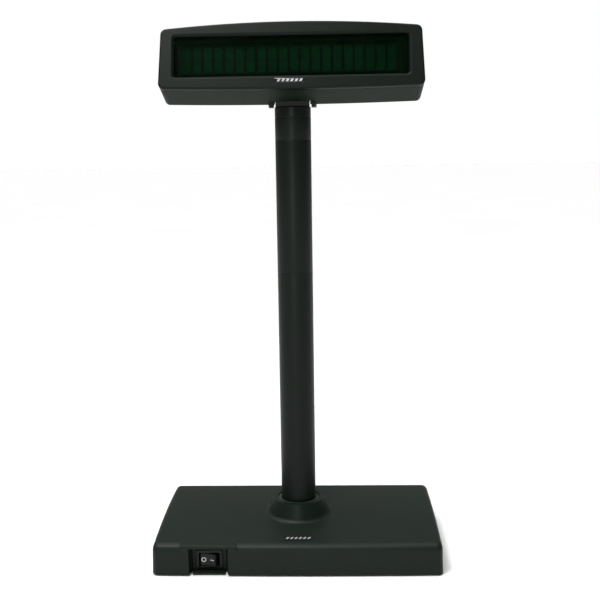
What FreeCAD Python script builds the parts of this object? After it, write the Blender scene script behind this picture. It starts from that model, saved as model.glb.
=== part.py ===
import FreeCAD, Part
import math
import os

# Customer pole display: a weighted desk base with a power rocker, a tube pole, a swivelling
# neck and a tilting head that holds a two-line vacuum fluorescent display.
# Millimetres. +X to the right of a person who reads the display, -Y towards that person, +Z up.
# The origin is on the counter, on the pole's axis.

V = FreeCAD.Vector
X_AXIS = V(1, 0, 0)
Y_AXIS = V(0, 1, 0)
Z_AXIS = V(0, 0, 1)

# ---------------------------------------------------------------- fits
slip = 0.3              # between pieces that are dropped into each other
running = 0.05          # radial clearance of a turning shaft
moving_gap = 0.6        # between a moving piece and its opening
overrun = 1.0           # how far a cutter passes a face

# ---------------------------------------------------------------- base cover
base_width = 230.0
base_depth = 125.0
foot_height = 1.0       # the feet stand this far below the cover
cover_wall = 2.5
corner_round = 5.0
front_bow = 1.6         # the front bulges by this much at its middle
side_draft = 0.8        # each side leans in by this much at the top
crown_height = 31.3     # highest line of the top
crown_y = 25.7          # where that line is
crown_radius = 620.0
lip_round = 6.5         # soft front edge
visor_round = 0.8       # crisp front edge above the switch
visor_width = 45.0

# ---------------------------------------------------------------- collar and pole
pole_radius = 14.3
pole_wall = 2.0
pole_top = 357.0
pole_low_joint = 234.0
top_tube_length = 18.0
collar_top = 43.0
collar_rim = 3.8        # width of the collar's flat top
collar_slope = 3.0 / 8.5
collar_blend = 4.5
ring_width = 3.0
ring_outer_gap = 0.2
ring_top = 42.4
ring_height = 6.0
ring_ledge = 1.5

# ---------------------------------------------------------------- floor, ballast and socket
floor_thickness = 1.2
foot_radius = 7.0
foot_inset_x = 16.0
foot_inset_y = 15.0
boss_radius = 4.0
boss_inset_x = 9.5
boss_inset_y = 12.0
ballast_width = 110.0
ballast_depth = 64.0
ballast_thickness = 6.0
ballast_screw_x = 45.0
ballast_screw_y = 24.0
socket_flange_radius = 30.0
socket_flange_thickness = 4.0
socket_insertion = 50.0
socket_wall = 3.3
socket_bolt_circle = 22.5

# ---------------------------------------------------------------- switch
switch_x = -69.8
switch_z = 11.0
recess_mouth_width = 31.6
recess_back_width = 26.7
recess_top = 22.7
recess_top_draft = 1.0
recess_depth = 8.9
recess_wall = 2.0
bezel_width = 20.7
bezel_height = 15.1
bezel_thickness = 1.4
switch_wall = 1.2
switch_length = 15.0
rocker_length = 15.9
rocker_height = 10.1
rocker_throw = 24.0     # degrees from off to on
rocker_pivot_depth = 3.6
rocker_mid_rise = 4.2
rocker_face_slope = 12.0
rocker_underside = 2.0
trunnion_radius = 1.2
trunnion_length = 0.7
mark_radius = 1.7
mark_stroke = 0.7
mark_depth = 0.3
mark_place = 0.6        # share of the face's length from its middle
plunger_radius = 1.1
plunger_length = 4.5
plunger_seat = 1.5
terminal_length = 7.0
terminal_half_width = 2.4
terminal_half_thickness = 0.4

# ---------------------------------------------------------------- rear ports
port_recess_width = 110.0
port_recess_depth = 8.0
port_recess_low = 8.0
port_recess_high = 26.6
serial_x = (-30.0, 6.0)
power_x = 36.0
board_width = 122.0
board_depth = 19.0
board_thickness = 1.6
board_height = 10.5
board_rear_gap = 1.2
standoff_radius = 2.6
standoff_inset_x = 3.5
standoff_inset_y = 4.0
serial_flange_width = 30.8
serial_flange_height = 12.5
serial_flange_thickness = 0.8
serial_hood_width = 16.9
serial_hood_height = 8.4
serial_hood_length = 6.0
serial_hood_wall = 0.5
serial_side_angle = 10.0
serial_body_depth = 9.0
serial_pin_pitch = 2.77
serial_pin_row = 2.84
serial_pin_radius = 0.5
jackscrew_spacing = 25.0
jackscrew_radius = 2.4
jackscrew_length = 5.0
power_body_width = 9.0
power_body_height = 11.0
power_bore_radius = 3.0
power_pin_radius = 1.0
power_collar_length = 3.0
power_collar_wall = 1.4

# ---------------------------------------------------------------- pieces on the interface board
chip_row_inset = 4.6
chip_half_depth = 3.1
chip_height = 1.8
interface_chip_sizes = ((-41.0, 12.0), (-22.0, 10.2), (20.0, 12.8), (44.0, 7.4))   # place across, width
small_can_row_inset = 6.5
small_can_x = (-52.0, 24.5, 49.0)
small_can_radius = 2.5
small_can_height = 7.0
header_half_width = 4.5
header_depth = 5.6
header_rise = 2.6       # above the cable's axis

# ---------------------------------------------------------------- swivel and tilt
bush_length = 34.0
bush_flange = 0.5
spigot_radius = 9.0
spigot_bore = 4.5
cap_height = 7.5
stop_lug_angle = 30.0
swivel_limit = 135.0
stop_margin = 0.5
stop_height = 3.0
washer_thickness = 1.2
nut_height = 5.0
pivot_rise = 27.0       # tilt axis above the pole's top
rest_tilt = 14.2        # the face leans back by this much
post_half_width = 13.4
post_half_depth = 4.5
blade_half_width = 6.0
post_height = 11.0
eye_radius = 6.5
pin_radius = 2.0
pin_head = (3.6, 2.2)   # radius, height
pin_end = 4.0           # shaft past the outer ear
hinge_nut_corner = 4.0
hinge_nut_height = 3.2
washer_inset = 1.0      # the friction washers' rim inside the ears' rim
cap_soft_edge = 0.8
neck_exit_y = 9.2       # where the cable leaves the neck, behind the pole's axis
neck_exit_rise = 14.2

# ---------------------------------------------------------------- head, in its own frame
# u runs to the right, d runs back from the face, v runs up the face; zero is the face's middle.
pivot_d = 25.3
pivot_v = -14.25
bezel_depth = 5.0
head_depth = 48.0
head_wall = 2.5
face_half_top = 100.3
face_half_bottom = 102.2
face_top_middle = 25.8
face_top_end = 21.0
face_bottom_middle = -27.4
face_bottom_end = -25.9
rear_top_middle = 20.5
rear_top_end = 16.5
rear_side_inset = 3.0
head_corner = 4.5
bezel_edge = 1.4
keel_d = 25.0
keel_v = -32.3
rear_bottom_v = -19.0
rear_edge = 4.0
cheek_gap = 0.7         # between the cheeks and the cap
cheek_wall = 4.0
cheek_front_d = 21.5
cheek_foot_front = (23.5, -34.9)     # (d, v) of the foot's ends: level when the head is at rest
cheek_foot_rear = (32.0, -32.8)
cheek_rear_d = 41.0
cheek_chamfer = 2.4
cheek_root = 4.0        # the cheek overlaps the shell by this much along its outline
cheek_rear_root = 1.0
slot_front_d = 20.0
slot_rear_d = 40.0
slot_rise = 6.0         # above the rear wall's lower edge

window_half_width = 90.0
window_top = 15.1
window_bottom = -16.7
window_corner = 2.0
window_bevel = 1.6
filter_front_d = 2.4
filter_thickness = 1.5
filter_margin = 2.0

vfd_middle_u = -2.0
vfd_length = 180.4
vfd_top = 13.0
vfd_bottom = -14.5
vfd_front_d = 4.6
glass_thickness = 2.4
vfd_thickness = 8.0
vfd_seal = 1.6
columns = 20
rows = 2
column_pitch = 8.38
cell_width = 6.3
cell_top = 9.4
cell_bottom = -10.9
row_gap = 0.8
coating = 0.1
grid_lift = 0.8
grid_thickness = 0.15
filament_lift = 1.8
filament_radius = 0.12
filaments = 4
tip_radius = 2.2
tip_length = 2.6
tip_inset_u = 8.0
tip_inset_v = 6.0
grid_overlap_u = 0.7    # past the cells, at each side
grid_overlap_v = 1.2
grid_rim_u = 0.5
grid_rim_v = 0.8
grid_bar_half = 0.1
filament_end_inset = 1.0
filament_bracket_half = 0.5
filament_bracket_lip = 0.3
lead_end_inset = 6.0
lead_past_board = 0.8
lead_slot_margin = 1.0
lead_count = 44
lead_width = 0.5
lead_thickness = 0.25
lead_drop = 2.0

display_board_d = 15.6
display_board_side_gap = 1.3
display_board_top = 16.8
display_board_bottom = -20.0
display_screw_high = (1.6, 8.0)      # in from the board's end, and up the face
display_screw_low = (5.0, -17.4)
display_board_corner = 3.5
display_boss_radius = 2.2
display_pilot = 6.0
case_screw_u = (-78.0, -34.0, 34.0, 78.0)
case_screw_v = -23.9
case_boss_radius = 3.0
case_boss_extra = 0.6   # the rear cover's bosses are this much wider
case_screw_seat_d = 13.0
case_pilot_end_d = 1.6

washer_gap = 1.0
ear_thickness = 2.0
ear_radius = 6.0
bracket_web_d = 33.0
bracket_top_v = 12.0
bracket_bottom_v = -7.0
bracket_half_width = 32.0
bracket_screw_u = 25.0
bracket_screw_v = (-2.0, 7.0)
bracket_boss_radius = 3.2
bracket_pilot_rest = 2.0   # left under the pilot hole in the rear wall

cable_header_u = 42.0
cable_header_v = 13.0
cable_header_depth = 5.0
cable_header_half_width = 6.0
cable_header_half_height = 2.8
head_cable_d = 42.5
head_cable_start = 3.5  # ahead of that run
head_cable_side = 1.0
head_cable_arch = 1.5

# ---------------------------------------------------------------- pieces on the display board: (u, v) and sizes
driver_chip_sizes = ((-68.0, 0.0, 14.0, 14.0), (-44.0, 0.0, 14.0, 14.0),
                     (68.0, -4.0, 10.0, 10.0), (-80.0, 12.0, 6.0, 4.0))
large_can_places = ((56.0, 9.0), (78.0, 9.0), (84.0, -4.0))
large_can_radius = 3.1
large_can_height = 9.0
coil_place = (57.0, -5.0)
coil_radius = 3.6
coil_flange_radius = 5.0
coil_flange = 1.0
coil_height = 7.0

vent_count = 14
vent_pitch = 9.0
vent_width = 2.0
vent_length = 12.0

badge_middle_u = -0.9
badge_width = 23.6
badge_height = 3.4
badge_v = -21.0
base_badge_width = 24.0
base_badge_depth = 6.0
base_badge_y = -50.5
base_badge_x = 1.0
badge_proud = 0.3
badge_sunk = 0.5

# ---------------------------------------------------------------- screws: shank, head radius, head height
small_screw = (1.1, 2.1, 1.4)
case_screw = (1.3, 2.5, 1.8)
plate_screw = (2.0, 3.5, 2.4)
flat_screw_head = 2.8
display_screw_length = 5.0
bracket_screw_length = 8.0

# ---------------------------------------------------------------- cables
cable_radius = 1.5
cable_room = 0.9
lead_radius = 0.8
lead_pad_inset = 9.0
lead_pad_half_gap = 2.4
lead_pad_depth = 3.0
lead_first_bend = (1.5, 16.0, 2.5)    # from the switch's terminal
lead_last_bend = (-1.0, -20.0, 1.5)   # from the board's pad
cable_split_drop = 57.0  # the turning half of the cable starts this far below the pole's top
split_gap = 0.3
arc_share = 0.45        # share of the shorter run that a bend takes

# ---------------------------------------------------------------- places worked out from the sizes
front_y = -base_depth / 2
rear_y = base_depth / 2
floor_top = foot_height + floor_thickness
ballast_top = floor_top + ballast_thickness
flange_top = ballast_top + socket_flange_thickness
pole_bore = pole_radius - pole_wall
bush_bottom = pole_top - bush_length
pole_high_joint = pole_top - top_tube_length
collar_bore = pole_radius + ring_width + ring_outer_gap
collar_top_radius = collar_bore + collar_rim
visor_x = (switch_x - visor_width / 2, switch_x + visor_width / 2)
recess_back_y = front_y + recess_depth
panel_y = rear_y - port_recess_depth
panel_inner_y = panel_y - cover_wall
board_top = board_height + board_thickness
board_rear_y = panel_inner_y - board_rear_gap
board_front_y = board_rear_y - board_depth
serial_z = board_top + serial_flange_height / 2 + slip
power_z = board_top + power_body_height / 2
cap_bottom = pole_top + bush_flange
cap_top = cap_bottom + cap_height
blade_start = cap_top + post_height
pivot_height = pole_top + pivot_rise
cable_split = pole_top - cable_split_drop
cheek_inner = pole_radius + cheek_gap
cheek_outer = cheek_inner + cheek_wall
display_board_half_width = face_half_top - head_wall - display_board_side_gap
display_screws = [(side * (display_board_half_width - inset), v) for side in (-1, 1)
                  for inset, v in (display_screw_high, display_screw_low)]
cells_d = vfd_front_d + vfd_thickness - glass_thickness
display_board_back = display_board_d + board_thickness
cell_height = (cell_top - cell_bottom - row_gap) / rows
first_column = vfd_middle_u - column_pitch * (columns - 1) / 2


# ---------------------------------------------------------------- basic solids
def block(x0, x1, y0, y1, z0, z1):
    return Part.makeBox(x1 - x0, y1 - y0, z1 - z0, V(x0, y0, z0))


def rod(radius, start, axis, length):
    return Part.makeCylinder(radius, length, V(*start), axis)


def ring(outer, inner, z0, z1):
    return rod(outer, (0, 0, z0), Z_AXIS, z1 - z0).cut(rod(inner, (0, 0, z0), Z_AXIS, z1 - z0))


def joined(shapes):
    first = shapes[0]
    if len(shapes) == 1:
        return first
    return first.multiFuse(shapes[1:]).removeSplitter()


def without(shape, cutters):
    return shape.cut(cutters)


def polygon(points, axis, length):
    """A prism: a closed outline of points, pushed along an axis."""
    outline = Part.makePolygon([V(*p) for p in points] + [V(*points[0])])
    return Part.Face(outline).extrude(axis * length)


def screw(size, seat, into):
    """A round-headed screw: its head stands on the seat and its shank runs along `into`."""
    shank, head, height = size[:3]
    length = size[3]
    head_solid = Part.makeCylinder(head, height, V(*seat), into * -1)
    return head_solid.fuse(Part.makeCylinder(shank, length, V(*seat), into))


def tube_along(points, radius):
    """A round tube whose straight runs meet in tangent arcs, as large as the shorter run allows."""
    stops = [V(*p) for p in points]
    edges = []
    here = stops[0]
    for before, corner, after in zip(stops, stops[1:], stops[2:]):
        run_in = corner - before
        run_out = after - corner
        reach = arc_share * min(run_in.Length, run_out.Length)
        way_in = V(run_in).normalize()
        way_out = V(run_out).normalize()
        start = corner - way_in * reach
        end = corner + way_out * reach
        half_turn = way_in.getAngle(way_out) / 2
        bend = reach / math.tan(half_turn)
        inward = (way_out - way_in).normalize()
        middle = corner + inward * (bend / math.cos(half_turn) - bend)
        print("bend radius %.1f" % bend)
        edges.append(Part.LineSegment(here, start).toShape())
        edges.append(Part.Arc(start, middle, end).toShape())
        here = end
    edges.append(Part.LineSegment(here, stops[-1]).toShape())
    path = Part.Wire(edges)
    section = Part.Wire(Part.makeCircle(radius, stops[0], stops[1] - stops[0]))
    return path.makePipeShell([section], True, False)


def edges_where(shape, test):
    return [edge for edge in shape.Edges if test(edge)]


def save(name, shape):
    shape.exportStep("parts/%s.step" % name)


# ---------------------------------------------------------------- base cover
def base_outline(inset, draft, z):
    """The base's outline at one height: straight sides and rear, and a front that bows forward."""
    side = base_width / 2 - inset - draft
    rear = rear_y - inset - draft
    corner_y = front_y + front_bow + inset
    a = V(-side, corner_y, z)
    b = V(side, corner_y, z)
    c = V(side, rear, z)
    d = V(-side, rear, z)
    front = Part.Arc(a, V(0, front_y + inset, z), b).toShape()
    lines = [Part.LineSegment(p, q).toShape() for p, q in ((b, c), (c, d), (d, a))]
    return Part.Wire([front] + lines)


def crown(drop, low):
    """Everything between a low plane and the arched top, lowered by `drop`."""
    reach = base_depth
    radius = crown_radius - drop
    middle_z = crown_height - crown_radius
    near_y = crown_y - reach
    far_y = crown_y + reach
    end_z = middle_z + math.sqrt(radius ** 2 - reach ** 2)
    arc = Part.Arc(V(0, near_y, end_z), V(0, crown_y, middle_z + radius), V(0, far_y, end_z)).toShape()
    corners = (V(0, far_y, end_z), V(0, far_y, low), V(0, near_y, low), V(0, near_y, end_z))
    lines = [Part.LineSegment(p, q).toShape() for p, q in zip(corners, corners[1:])]
    face = Part.Face(Part.Wire([arc] + lines))
    face.translate(V(-base_width, 0, 0))
    return face.extrude(V(2 * base_width, 0, 0))


def base_walls(inset, low):
    """The base's outer (or inner) shape with sharp edges."""
    high = crown_height + overrun
    walls = Part.makeLoft([base_outline(inset, 0, low), base_outline(inset, side_draft, high)], True, True)
    return walls.common(crown(inset, low - overrun))


def with_soft_front(body, low, radius):
    def is_front_top(edge):
        box = edge.BoundBox
        return box.XLength > base_width / 2 and box.YMax < front_y + cover_wall * 2 and box.ZMin > low + overrun

    return body.makeFillet(radius, edges_where(body, is_front_top))


def with_soft_sides(body, low, radius):
    def is_side(edge):
        box = edge.BoundBox
        upright = box.ZLength > crown_height / 3
        top_rear = box.ZMin > low + overrun and box.YMin > 0 and box.XLength > base_width / 2
        return upright or top_rear

    return body.makeFillet(radius, edges_where(body, is_side))


def base_block(inset, low):
    front = with_soft_front(base_walls(inset, low), low, lip_round - inset)
    return with_soft_sides(front, low, corner_round - inset)


def switch_recess(back_y, shrink):
    """The tapered niche that the switch stands in, open to the front and to the floor."""
    mouth_y = front_y - overrun
    reach = (recess_back_y - mouth_y) / (recess_back_y - front_y)
    taper = (recess_mouth_width - recess_back_width) / 2 * reach
    half_back = recess_back_width / 2 + shrink
    half_mouth = half_back + taper
    top_back = recess_top - recess_top_draft + shrink
    top_mouth = recess_top + shrink
    low = foot_height - overrun

    def section(half, top, y):
        points = ((-half, low), (half, low), (half, top), (-half, top), (-half, low))
        return Part.makePolygon([V(switch_x + x, y, z) for x, z in points])

    mouth = section(half_mouth, top_mouth, mouth_y)
    return Part.makeLoft([mouth, section(half_back, top_back, back_y)], True, True)


def port_recess(grow):
    half = port_recess_width / 2 + grow
    return block(-half, half, panel_y - grow, rear_y + overrun, port_recess_low - grow, port_recess_high + grow)


def boss_places():
    x = base_width / 2 - boss_inset_x
    y = base_depth / 2 - boss_inset_y
    return [(sx * x, sy * y) for sx in (-1, 1) for sy in (-1, 1)]


def collar_cone():
    low = crown_height - 2 * cover_wall
    low_radius = collar_top_radius + (collar_top - low) * collar_slope
    return Part.makeCone(low_radius, collar_top_radius, collar_top - low, V(0, 0, low), Z_AXIS)


def make_base_cover():
    low = foot_height
    outer = base_block(0, low)
    crisp = with_soft_front(base_walls(0, low), low, visor_round)
    visor = crisp.common(block(*visor_x, front_y - overrun, front_y + 2 * lip_round, low, crown_height))
    outer = joined([outer, visor])
    with_cone = joined([outer, collar_cone()])

    def is_collar_root(edge):
        box = edge.BoundBox
        radius = max(abs(box.XMin), abs(box.XMax))
        wide = collar_top_radius + collar_slope < radius < collar_top_radius + 2 * lip_round
        level = box.ZMax < collar_top - overrun and box.ZMin > crown_height - cover_wall * 2
        return wide and level and box.YLength > radius

    full = with_cone.makeFillet(collar_blend, edges_where(with_cone, is_collar_root))
    hollow = base_block(cover_wall, low - overrun)
    niche_walls = switch_recess(recess_back_y + recess_wall, recess_wall)
    hollow = hollow.cut(joined([niche_walls, port_recess(cover_wall)]))
    shell = full.cut(hollow)
    bosses = [rod(boss_radius, (x, y, floor_top), Z_AXIS, crown_height).common(outer) for x, y in boss_places()]
    shell = joined([shell] + bosses)
    cutters = [switch_recess(recess_back_y, 0), port_recess(0)]
    cutters += [rod(case_screw[0], (x, y, 0), Z_AXIS, crown_height / 2) for x, y in boss_places()]
    cutters.append(rod(collar_bore, (0, 0, ring_top - ring_height), Z_AXIS, ring_height + overrun))
    cutters.append(rod(collar_bore - ring_ledge, (0, 0, 0), Z_AXIS, ring_top))
    cutters.append(floor_tongue(slip))
    cutters.append(block(switch_x - bezel_width / 2 + switch_wall, switch_x + bezel_width / 2 - switch_wall,
                         front_y, recess_back_y + recess_wall + overrun,
                         switch_z - bezel_height / 2 + switch_wall, switch_z + bezel_height / 2 - switch_wall))
    cutters += port_cutouts()
    cutters.append(badge_shape(0))
    return without(shell, cutters)


def badge_shape(proud):
    """The small plate on the top's front, which follows the arch."""
    half = base_badge_width / 2
    column = block(base_badge_x - half, base_badge_x + half,
                   base_badge_y - base_badge_depth / 2, base_badge_y + base_badge_depth / 2,
                   crown_height / 2, crown_height + overrun)
    high = crown(-proud if proud else -overrun, 0)
    return column.common(high).cut(crown(badge_sunk, 0))


def make_base_badge():
    return badge_shape(badge_proud)


def make_foot_ring():
    low = ring_top - ring_height
    return ring(collar_bore - ring_outer_gap, pole_radius + running, low, ring_top)


# ---------------------------------------------------------------- floor, feet, ballast and socket
def floor_tongue(grow):
    """The part of the floor that closes the switch niche from below."""
    half = recess_back_width / 2 - slip + grow
    return block(switch_x - half, switch_x + half, front_y + cover_wall, recess_back_y + recess_wall + overrun,
                 foot_height - grow, floor_top + grow)


def make_base_floor():
    gap = cover_wall + slip
    outline = Part.Face(base_outline(gap, 0, foot_height))
    plate = outline.extrude(V(0, 0, floor_thickness))
    upright = edges_where(plate, lambda e: e.BoundBox.ZLength > floor_thickness / 2)
    plate = plate.makeFillet(corner_round, upright)
    half = recess_mouth_width / 2 + recess_wall + 2 * slip
    niche = block(switch_x - half, switch_x + half, front_y - overrun, recess_back_y + recess_wall + slip,
                  0, floor_top + overrun)
    plate = joined([plate.cut(niche), floor_tongue(0)])
    cutters = []
    for x, y in boss_places():
        seat = V(x, y, foot_height)
        cutters.append(Part.makeCone(flat_screw_head, case_screw[0], floor_thickness, seat, Z_AXIS))
    for x, y in ballast_screw_places():
        cutters.append(rod(plate_screw[0], (x, y, 0), Z_AXIS, crown_height))
    for x, y in standoff_places():
        cutters.append(rod(small_screw[0], (x, y, 0), Z_AXIS, crown_height))
    return without(plate, cutters)


def make_rubber_feet():
    x = base_width / 2 - foot_inset_x - boss_inset_x
    y = base_depth / 2 - foot_inset_y - boss_inset_y
    feet = [rod(foot_radius, (sx * x, sy * y, 0), Z_AXIS, foot_height) for sx in (-1, 1) for sy in (-1, 1)]
    return Part.makeCompound(feet)


def make_floor_screws():
    screws = []
    for x, y in boss_places():
        head = Part.makeCone(flat_screw_head, case_screw[0], floor_thickness, V(x, y, foot_height), Z_AXIS)
        shank = rod(case_screw[0], (x, y, floor_top), Z_AXIS, crown_height / 2 - floor_top - overrun)
        screws.append(head.fuse(shank))
    return Part.makeCompound(screws)


def ballast_screw_places():
    return [(sx * ballast_screw_x, sy * ballast_screw_y) for sx in (-1, 1) for sy in (-1, 1)]


def socket_screw_places():
    reach = socket_bolt_circle * math.sqrt(0.5)
    return [(sx * reach, sy * reach) for sx in (-1, 1) for sy in (-1, 1)]


def make_ballast_plate():
    half = ballast_width / 2
    plate = block(-half, half, -ballast_depth / 2, ballast_depth / 2, floor_top, ballast_top)
    places = ballast_screw_places() + socket_screw_places()
    return without(plate, [rod(plate_screw[0], (x, y, 0), Z_AXIS, crown_height) for x, y in places])


def make_plate_screws():
    screws = []
    for x, y in ballast_screw_places():
        screws.append(screw(plate_screw + (ballast_top - foot_height,), (x, y, ballast_top), Z_AXIS * -1))
    for x, y in socket_screw_places():
        screws.append(screw(plate_screw + (flange_top - floor_top,), (x, y, flange_top), Z_AXIS * -1))
    return Part.makeCompound(screws)


def cable_window():
    """The opening at the pole's foot where the cable comes in from the rear."""
    half = cable_radius + cable_room
    high = cable_level() + cable_radius + 2 * cable_room
    return block(-half, half, 0, pole_radius + overrun, flange_top, high)


def cable_level():
    return flange_top + cable_radius + cable_room


def make_pole_socket():
    flange = ring(socket_flange_radius, pole_bore - socket_wall, ballast_top, flange_top)
    spigot = ring(pole_bore, pole_bore - socket_wall, flange_top, flange_top + socket_insertion)
    cutters = [rod(plate_screw[0], (x, y, 0), Z_AXIS, crown_height) for x, y in socket_screw_places()]
    return without(joined([flange, spigot]), cutters + [cable_window()])


def make_pole_lower():
    return ring(pole_radius, pole_bore, flange_top, pole_low_joint).cut(cable_window())


def make_pole_upper():
    return ring(pole_radius, pole_bore, pole_low_joint, pole_high_joint)


def make_pole_top_tube():
    return ring(pole_radius, pole_bore, pole_high_joint, pole_top)


def make_pole_joiner():
    half = socket_insertion / 2
    return ring(pole_bore, pole_bore - socket_wall, pole_low_joint - half, pole_low_joint + half)


# ---------------------------------------------------------------- switch and rocker
def rocker_pivot():
    return V(switch_x, recess_back_y - bezel_thickness + rocker_pivot_depth, switch_z)


def switch_hollow():
    half = rocker_length / 2 + slip
    half_height = rocker_height / 2 + slip
    pivot = rocker_pivot()
    front = recess_back_y - bezel_thickness - overrun
    return block(switch_x - half, switch_x + half, front, pivot.y + rocker_length / 2 + slip,
                 switch_z - half_height, switch_z + half_height)


def make_switch_body():
    bezel = block(switch_x - bezel_width / 2, switch_x + bezel_width / 2,
                  recess_back_y - bezel_thickness, recess_back_y,
                  switch_z - bezel_height / 2, switch_z + bezel_height / 2)
    half = bezel_width / 2 - switch_wall
    half_height = bezel_height / 2 - switch_wall
    body = block(switch_x - half, switch_x + half, recess_back_y, recess_back_y + switch_length,
                 switch_z - half_height, switch_z + half_height)
    pivot = rocker_pivot()
    reach = rocker_height / 2 + trunnion_length + 2 * running
    bearing = rod(trunnion_radius + running, (pivot.x, pivot.y, pivot.z - reach), Z_AXIS, 2 * reach)
    return joined([bezel, body]).cut([switch_hollow(), bearing] + terminal_blades())


def terminal_x(side):
    return switch_x + side * bezel_width / 4


def terminal_blades():
    rear = recess_back_y + switch_length
    inner = rear - switch_wall - overrun
    return [block(terminal_x(side) - terminal_half_thickness, terminal_x(side) + terminal_half_thickness,
                  inner, rear + terminal_length, switch_z - terminal_half_width, switch_z + terminal_half_width)
            for side in (-1, 1)]


def make_switch_terminals():
    return Part.makeCompound(terminal_blades())


def rocker_end():
    """Where a sloping face meets the round end: the rise of the face along a circle about the pivot."""
    half = rocker_length / 2
    slope = math.tan(math.radians(rocker_face_slope))
    square = 1 + slope ** 2
    x = (math.sqrt((rocker_mid_rise * slope) ** 2 - square * (rocker_mid_rise ** 2 - half ** 2))
         - rocker_mid_rise * slope) / square
    return x, rocker_mid_rise + slope * x


def rocker_outline():
    """The rocker seen along its trunnions: two sloping faces, round ends about the pivot."""
    half = rocker_length / 2
    end_x, end_rise = rocker_end()
    low_x = math.sqrt(half ** 2 - rocker_underside ** 2)
    left = Part.Arc(V(-end_x, -end_rise, 0), V(-half, 0, 0), V(-low_x, rocker_underside, 0)).toShape()
    right = Part.Arc(V(low_x, rocker_underside, 0), V(half, 0, 0), V(end_x, -end_rise, 0)).toShape()
    under = Part.LineSegment(V(-low_x, rocker_underside, 0), V(low_x, rocker_underside, 0)).toShape()
    faces = [Part.LineSegment(V(end_x, -end_rise, 0), V(0, -rocker_mid_rise, 0)).toShape(),
             Part.LineSegment(V(0, -rocker_mid_rise, 0), V(-end_x, -end_rise, 0)).toShape()]
    return Part.Wire([left, under, right] + faces)


def on_rocker(shape):
    """Put a shape from the rocker's own frame in its place, pressed at the O end."""
    shape.rotate(V(0, 0, 0), Z_AXIS, -rocker_throw / 2)
    shape.translate(rocker_pivot())
    return shape


def make_rocker_button():
    solid = Part.Face(rocker_outline()).extrude(V(0, 0, rocker_height))
    solid.translate(V(0, 0, -rocker_height / 2))
    reach = rocker_height / 2 + trunnion_length
    solid = solid.fuse(rod(trunnion_radius, (0, 0, -reach), Z_AXIS, 2 * reach))
    return on_rocker(solid.cut(rocker_mark_solids()).cut(plunger()))


def rocker_mark_solids():
    """A ring and a bar, moulded into the two faces."""
    middle = rocker_end()[0] * mark_place
    rise = rocker_mid_rise + middle * math.tan(math.radians(rocker_face_slope))
    circle = Part.makeCylinder(mark_radius, mark_depth, V(0, 0, 0), Y_AXIS)
    circle = circle.cut(Part.makeCylinder(mark_radius - mark_stroke, mark_depth, V(0, 0, 0), Y_AXIS))
    bar = Part.makeBox(2 * mark_radius, mark_depth, mark_stroke, V(-mark_radius, 0, -mark_stroke / 2))
    marks = []
    for side, mark in ((-1, circle), (1, bar)):
        mark.rotate(V(0, 0, 0), Z_AXIS, -side * rocker_face_slope)
        mark.translate(V(side * middle, -rise, 0))
        marks.append(mark)
    return marks


def make_rocker_marks():
    body = Part.Face(rocker_outline()).extrude(V(0, 0, rocker_height))
    body.translate(V(0, 0, -rocker_height / 2))
    return on_rocker(Part.makeCompound([mark.common(body) for mark in rocker_mark_solids()]))


def plunger():
    return Part.makeCylinder(plunger_radius, plunger_length, V(0, rocker_underside - plunger_seat, 0), Y_AXIS)


def make_rocker_plunger():
    return on_rocker(plunger())


# ---------------------------------------------------------------- interface board and ports
def standoff_places():
    x = board_width / 2 - standoff_inset_x
    near = board_front_y + standoff_inset_y
    far = board_rear_y - standoff_inset_y
    return [(sx * x, y) for sx in (-1, 1) for y in (near, far)]


def make_interface_board():
    plate = block(-board_width / 2, board_width / 2, board_front_y, board_rear_y, board_height, board_top)
    return without(plate, [rod(small_screw[0], (x, y, 0), Z_AXIS, crown_height) for x, y in standoff_places()])


def make_board_standoffs():
    posts = []
    for x, y in standoff_places():
        post = rod(standoff_radius, (x, y, floor_top), Z_AXIS, board_height - floor_top)
        posts.append(post.cut(rod(small_screw[0], (x, y, 0), Z_AXIS, crown_height)))
    return Part.makeCompound(posts)


def make_board_screws():
    length = board_top - foot_height
    return Part.makeCompound([screw(small_screw + (length,), (x, y, board_top), Z_AXIS * -1)
                              for x, y in standoff_places()])


def d_prism(x, width, height, y0, y1):
    """The keyed outline of a serial port: wider above than below."""
    lean = height * math.tan(math.radians(serial_side_angle))
    top = width / 2
    low = top - lean
    z0 = serial_z - height / 2
    z1 = serial_z + height / 2
    points = ((x - low, y0, z0), (x + low, y0, z0), (x + top, y0, z1), (x - top, y0, z1))
    return polygon(points, Y_AXIS, y1 - y0)


def jackscrew_places():
    return [(x + side * jackscrew_spacing / 2, serial_z) for x in serial_x for side in (-1, 1)]


def port_cutouts():
    near = panel_inner_y - overrun
    far = panel_y + overrun
    cutters = [d_prism(x, serial_hood_width + 2 * slip, serial_hood_height + 2 * slip, near, far)
               for x in serial_x]
    cutters += [rod(small_screw[0], (x, near, z), Y_AXIS, far - near) for x, z in jackscrew_places()]
    collar_room = power_bore_radius + power_collar_wall + slip
    cutters.append(rod(collar_room, (power_x, near, power_z), Y_AXIS, far - near))
    return cutters


def make_serial_shells():
    shells = []
    half = serial_flange_width / 2
    back = panel_inner_y - serial_flange_thickness
    tip = panel_y + serial_hood_length - cover_wall
    inner_width = serial_hood_width - 2 * serial_hood_wall
    inner_height = serial_hood_height - 2 * serial_hood_wall
    for x in serial_x:
        flange = block(x - half, x + half, back, panel_inner_y,
                       serial_z - serial_flange_height / 2, serial_z + serial_flange_height / 2)
        hood = d_prism(x, serial_hood_width, serial_hood_height, back, tip)
        hollow = d_prism(x, inner_width, inner_height, back - overrun, tip + overrun)
        holes = [rod(small_screw[0], (x + side * jackscrew_spacing / 2, back - overrun, serial_z),
                     Y_AXIS, cover_wall * 2) for side in (-1, 1)]
        shells.append(joined([flange, hood]).cut([hollow] + holes))
    return Part.makeCompound(shells)


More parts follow.
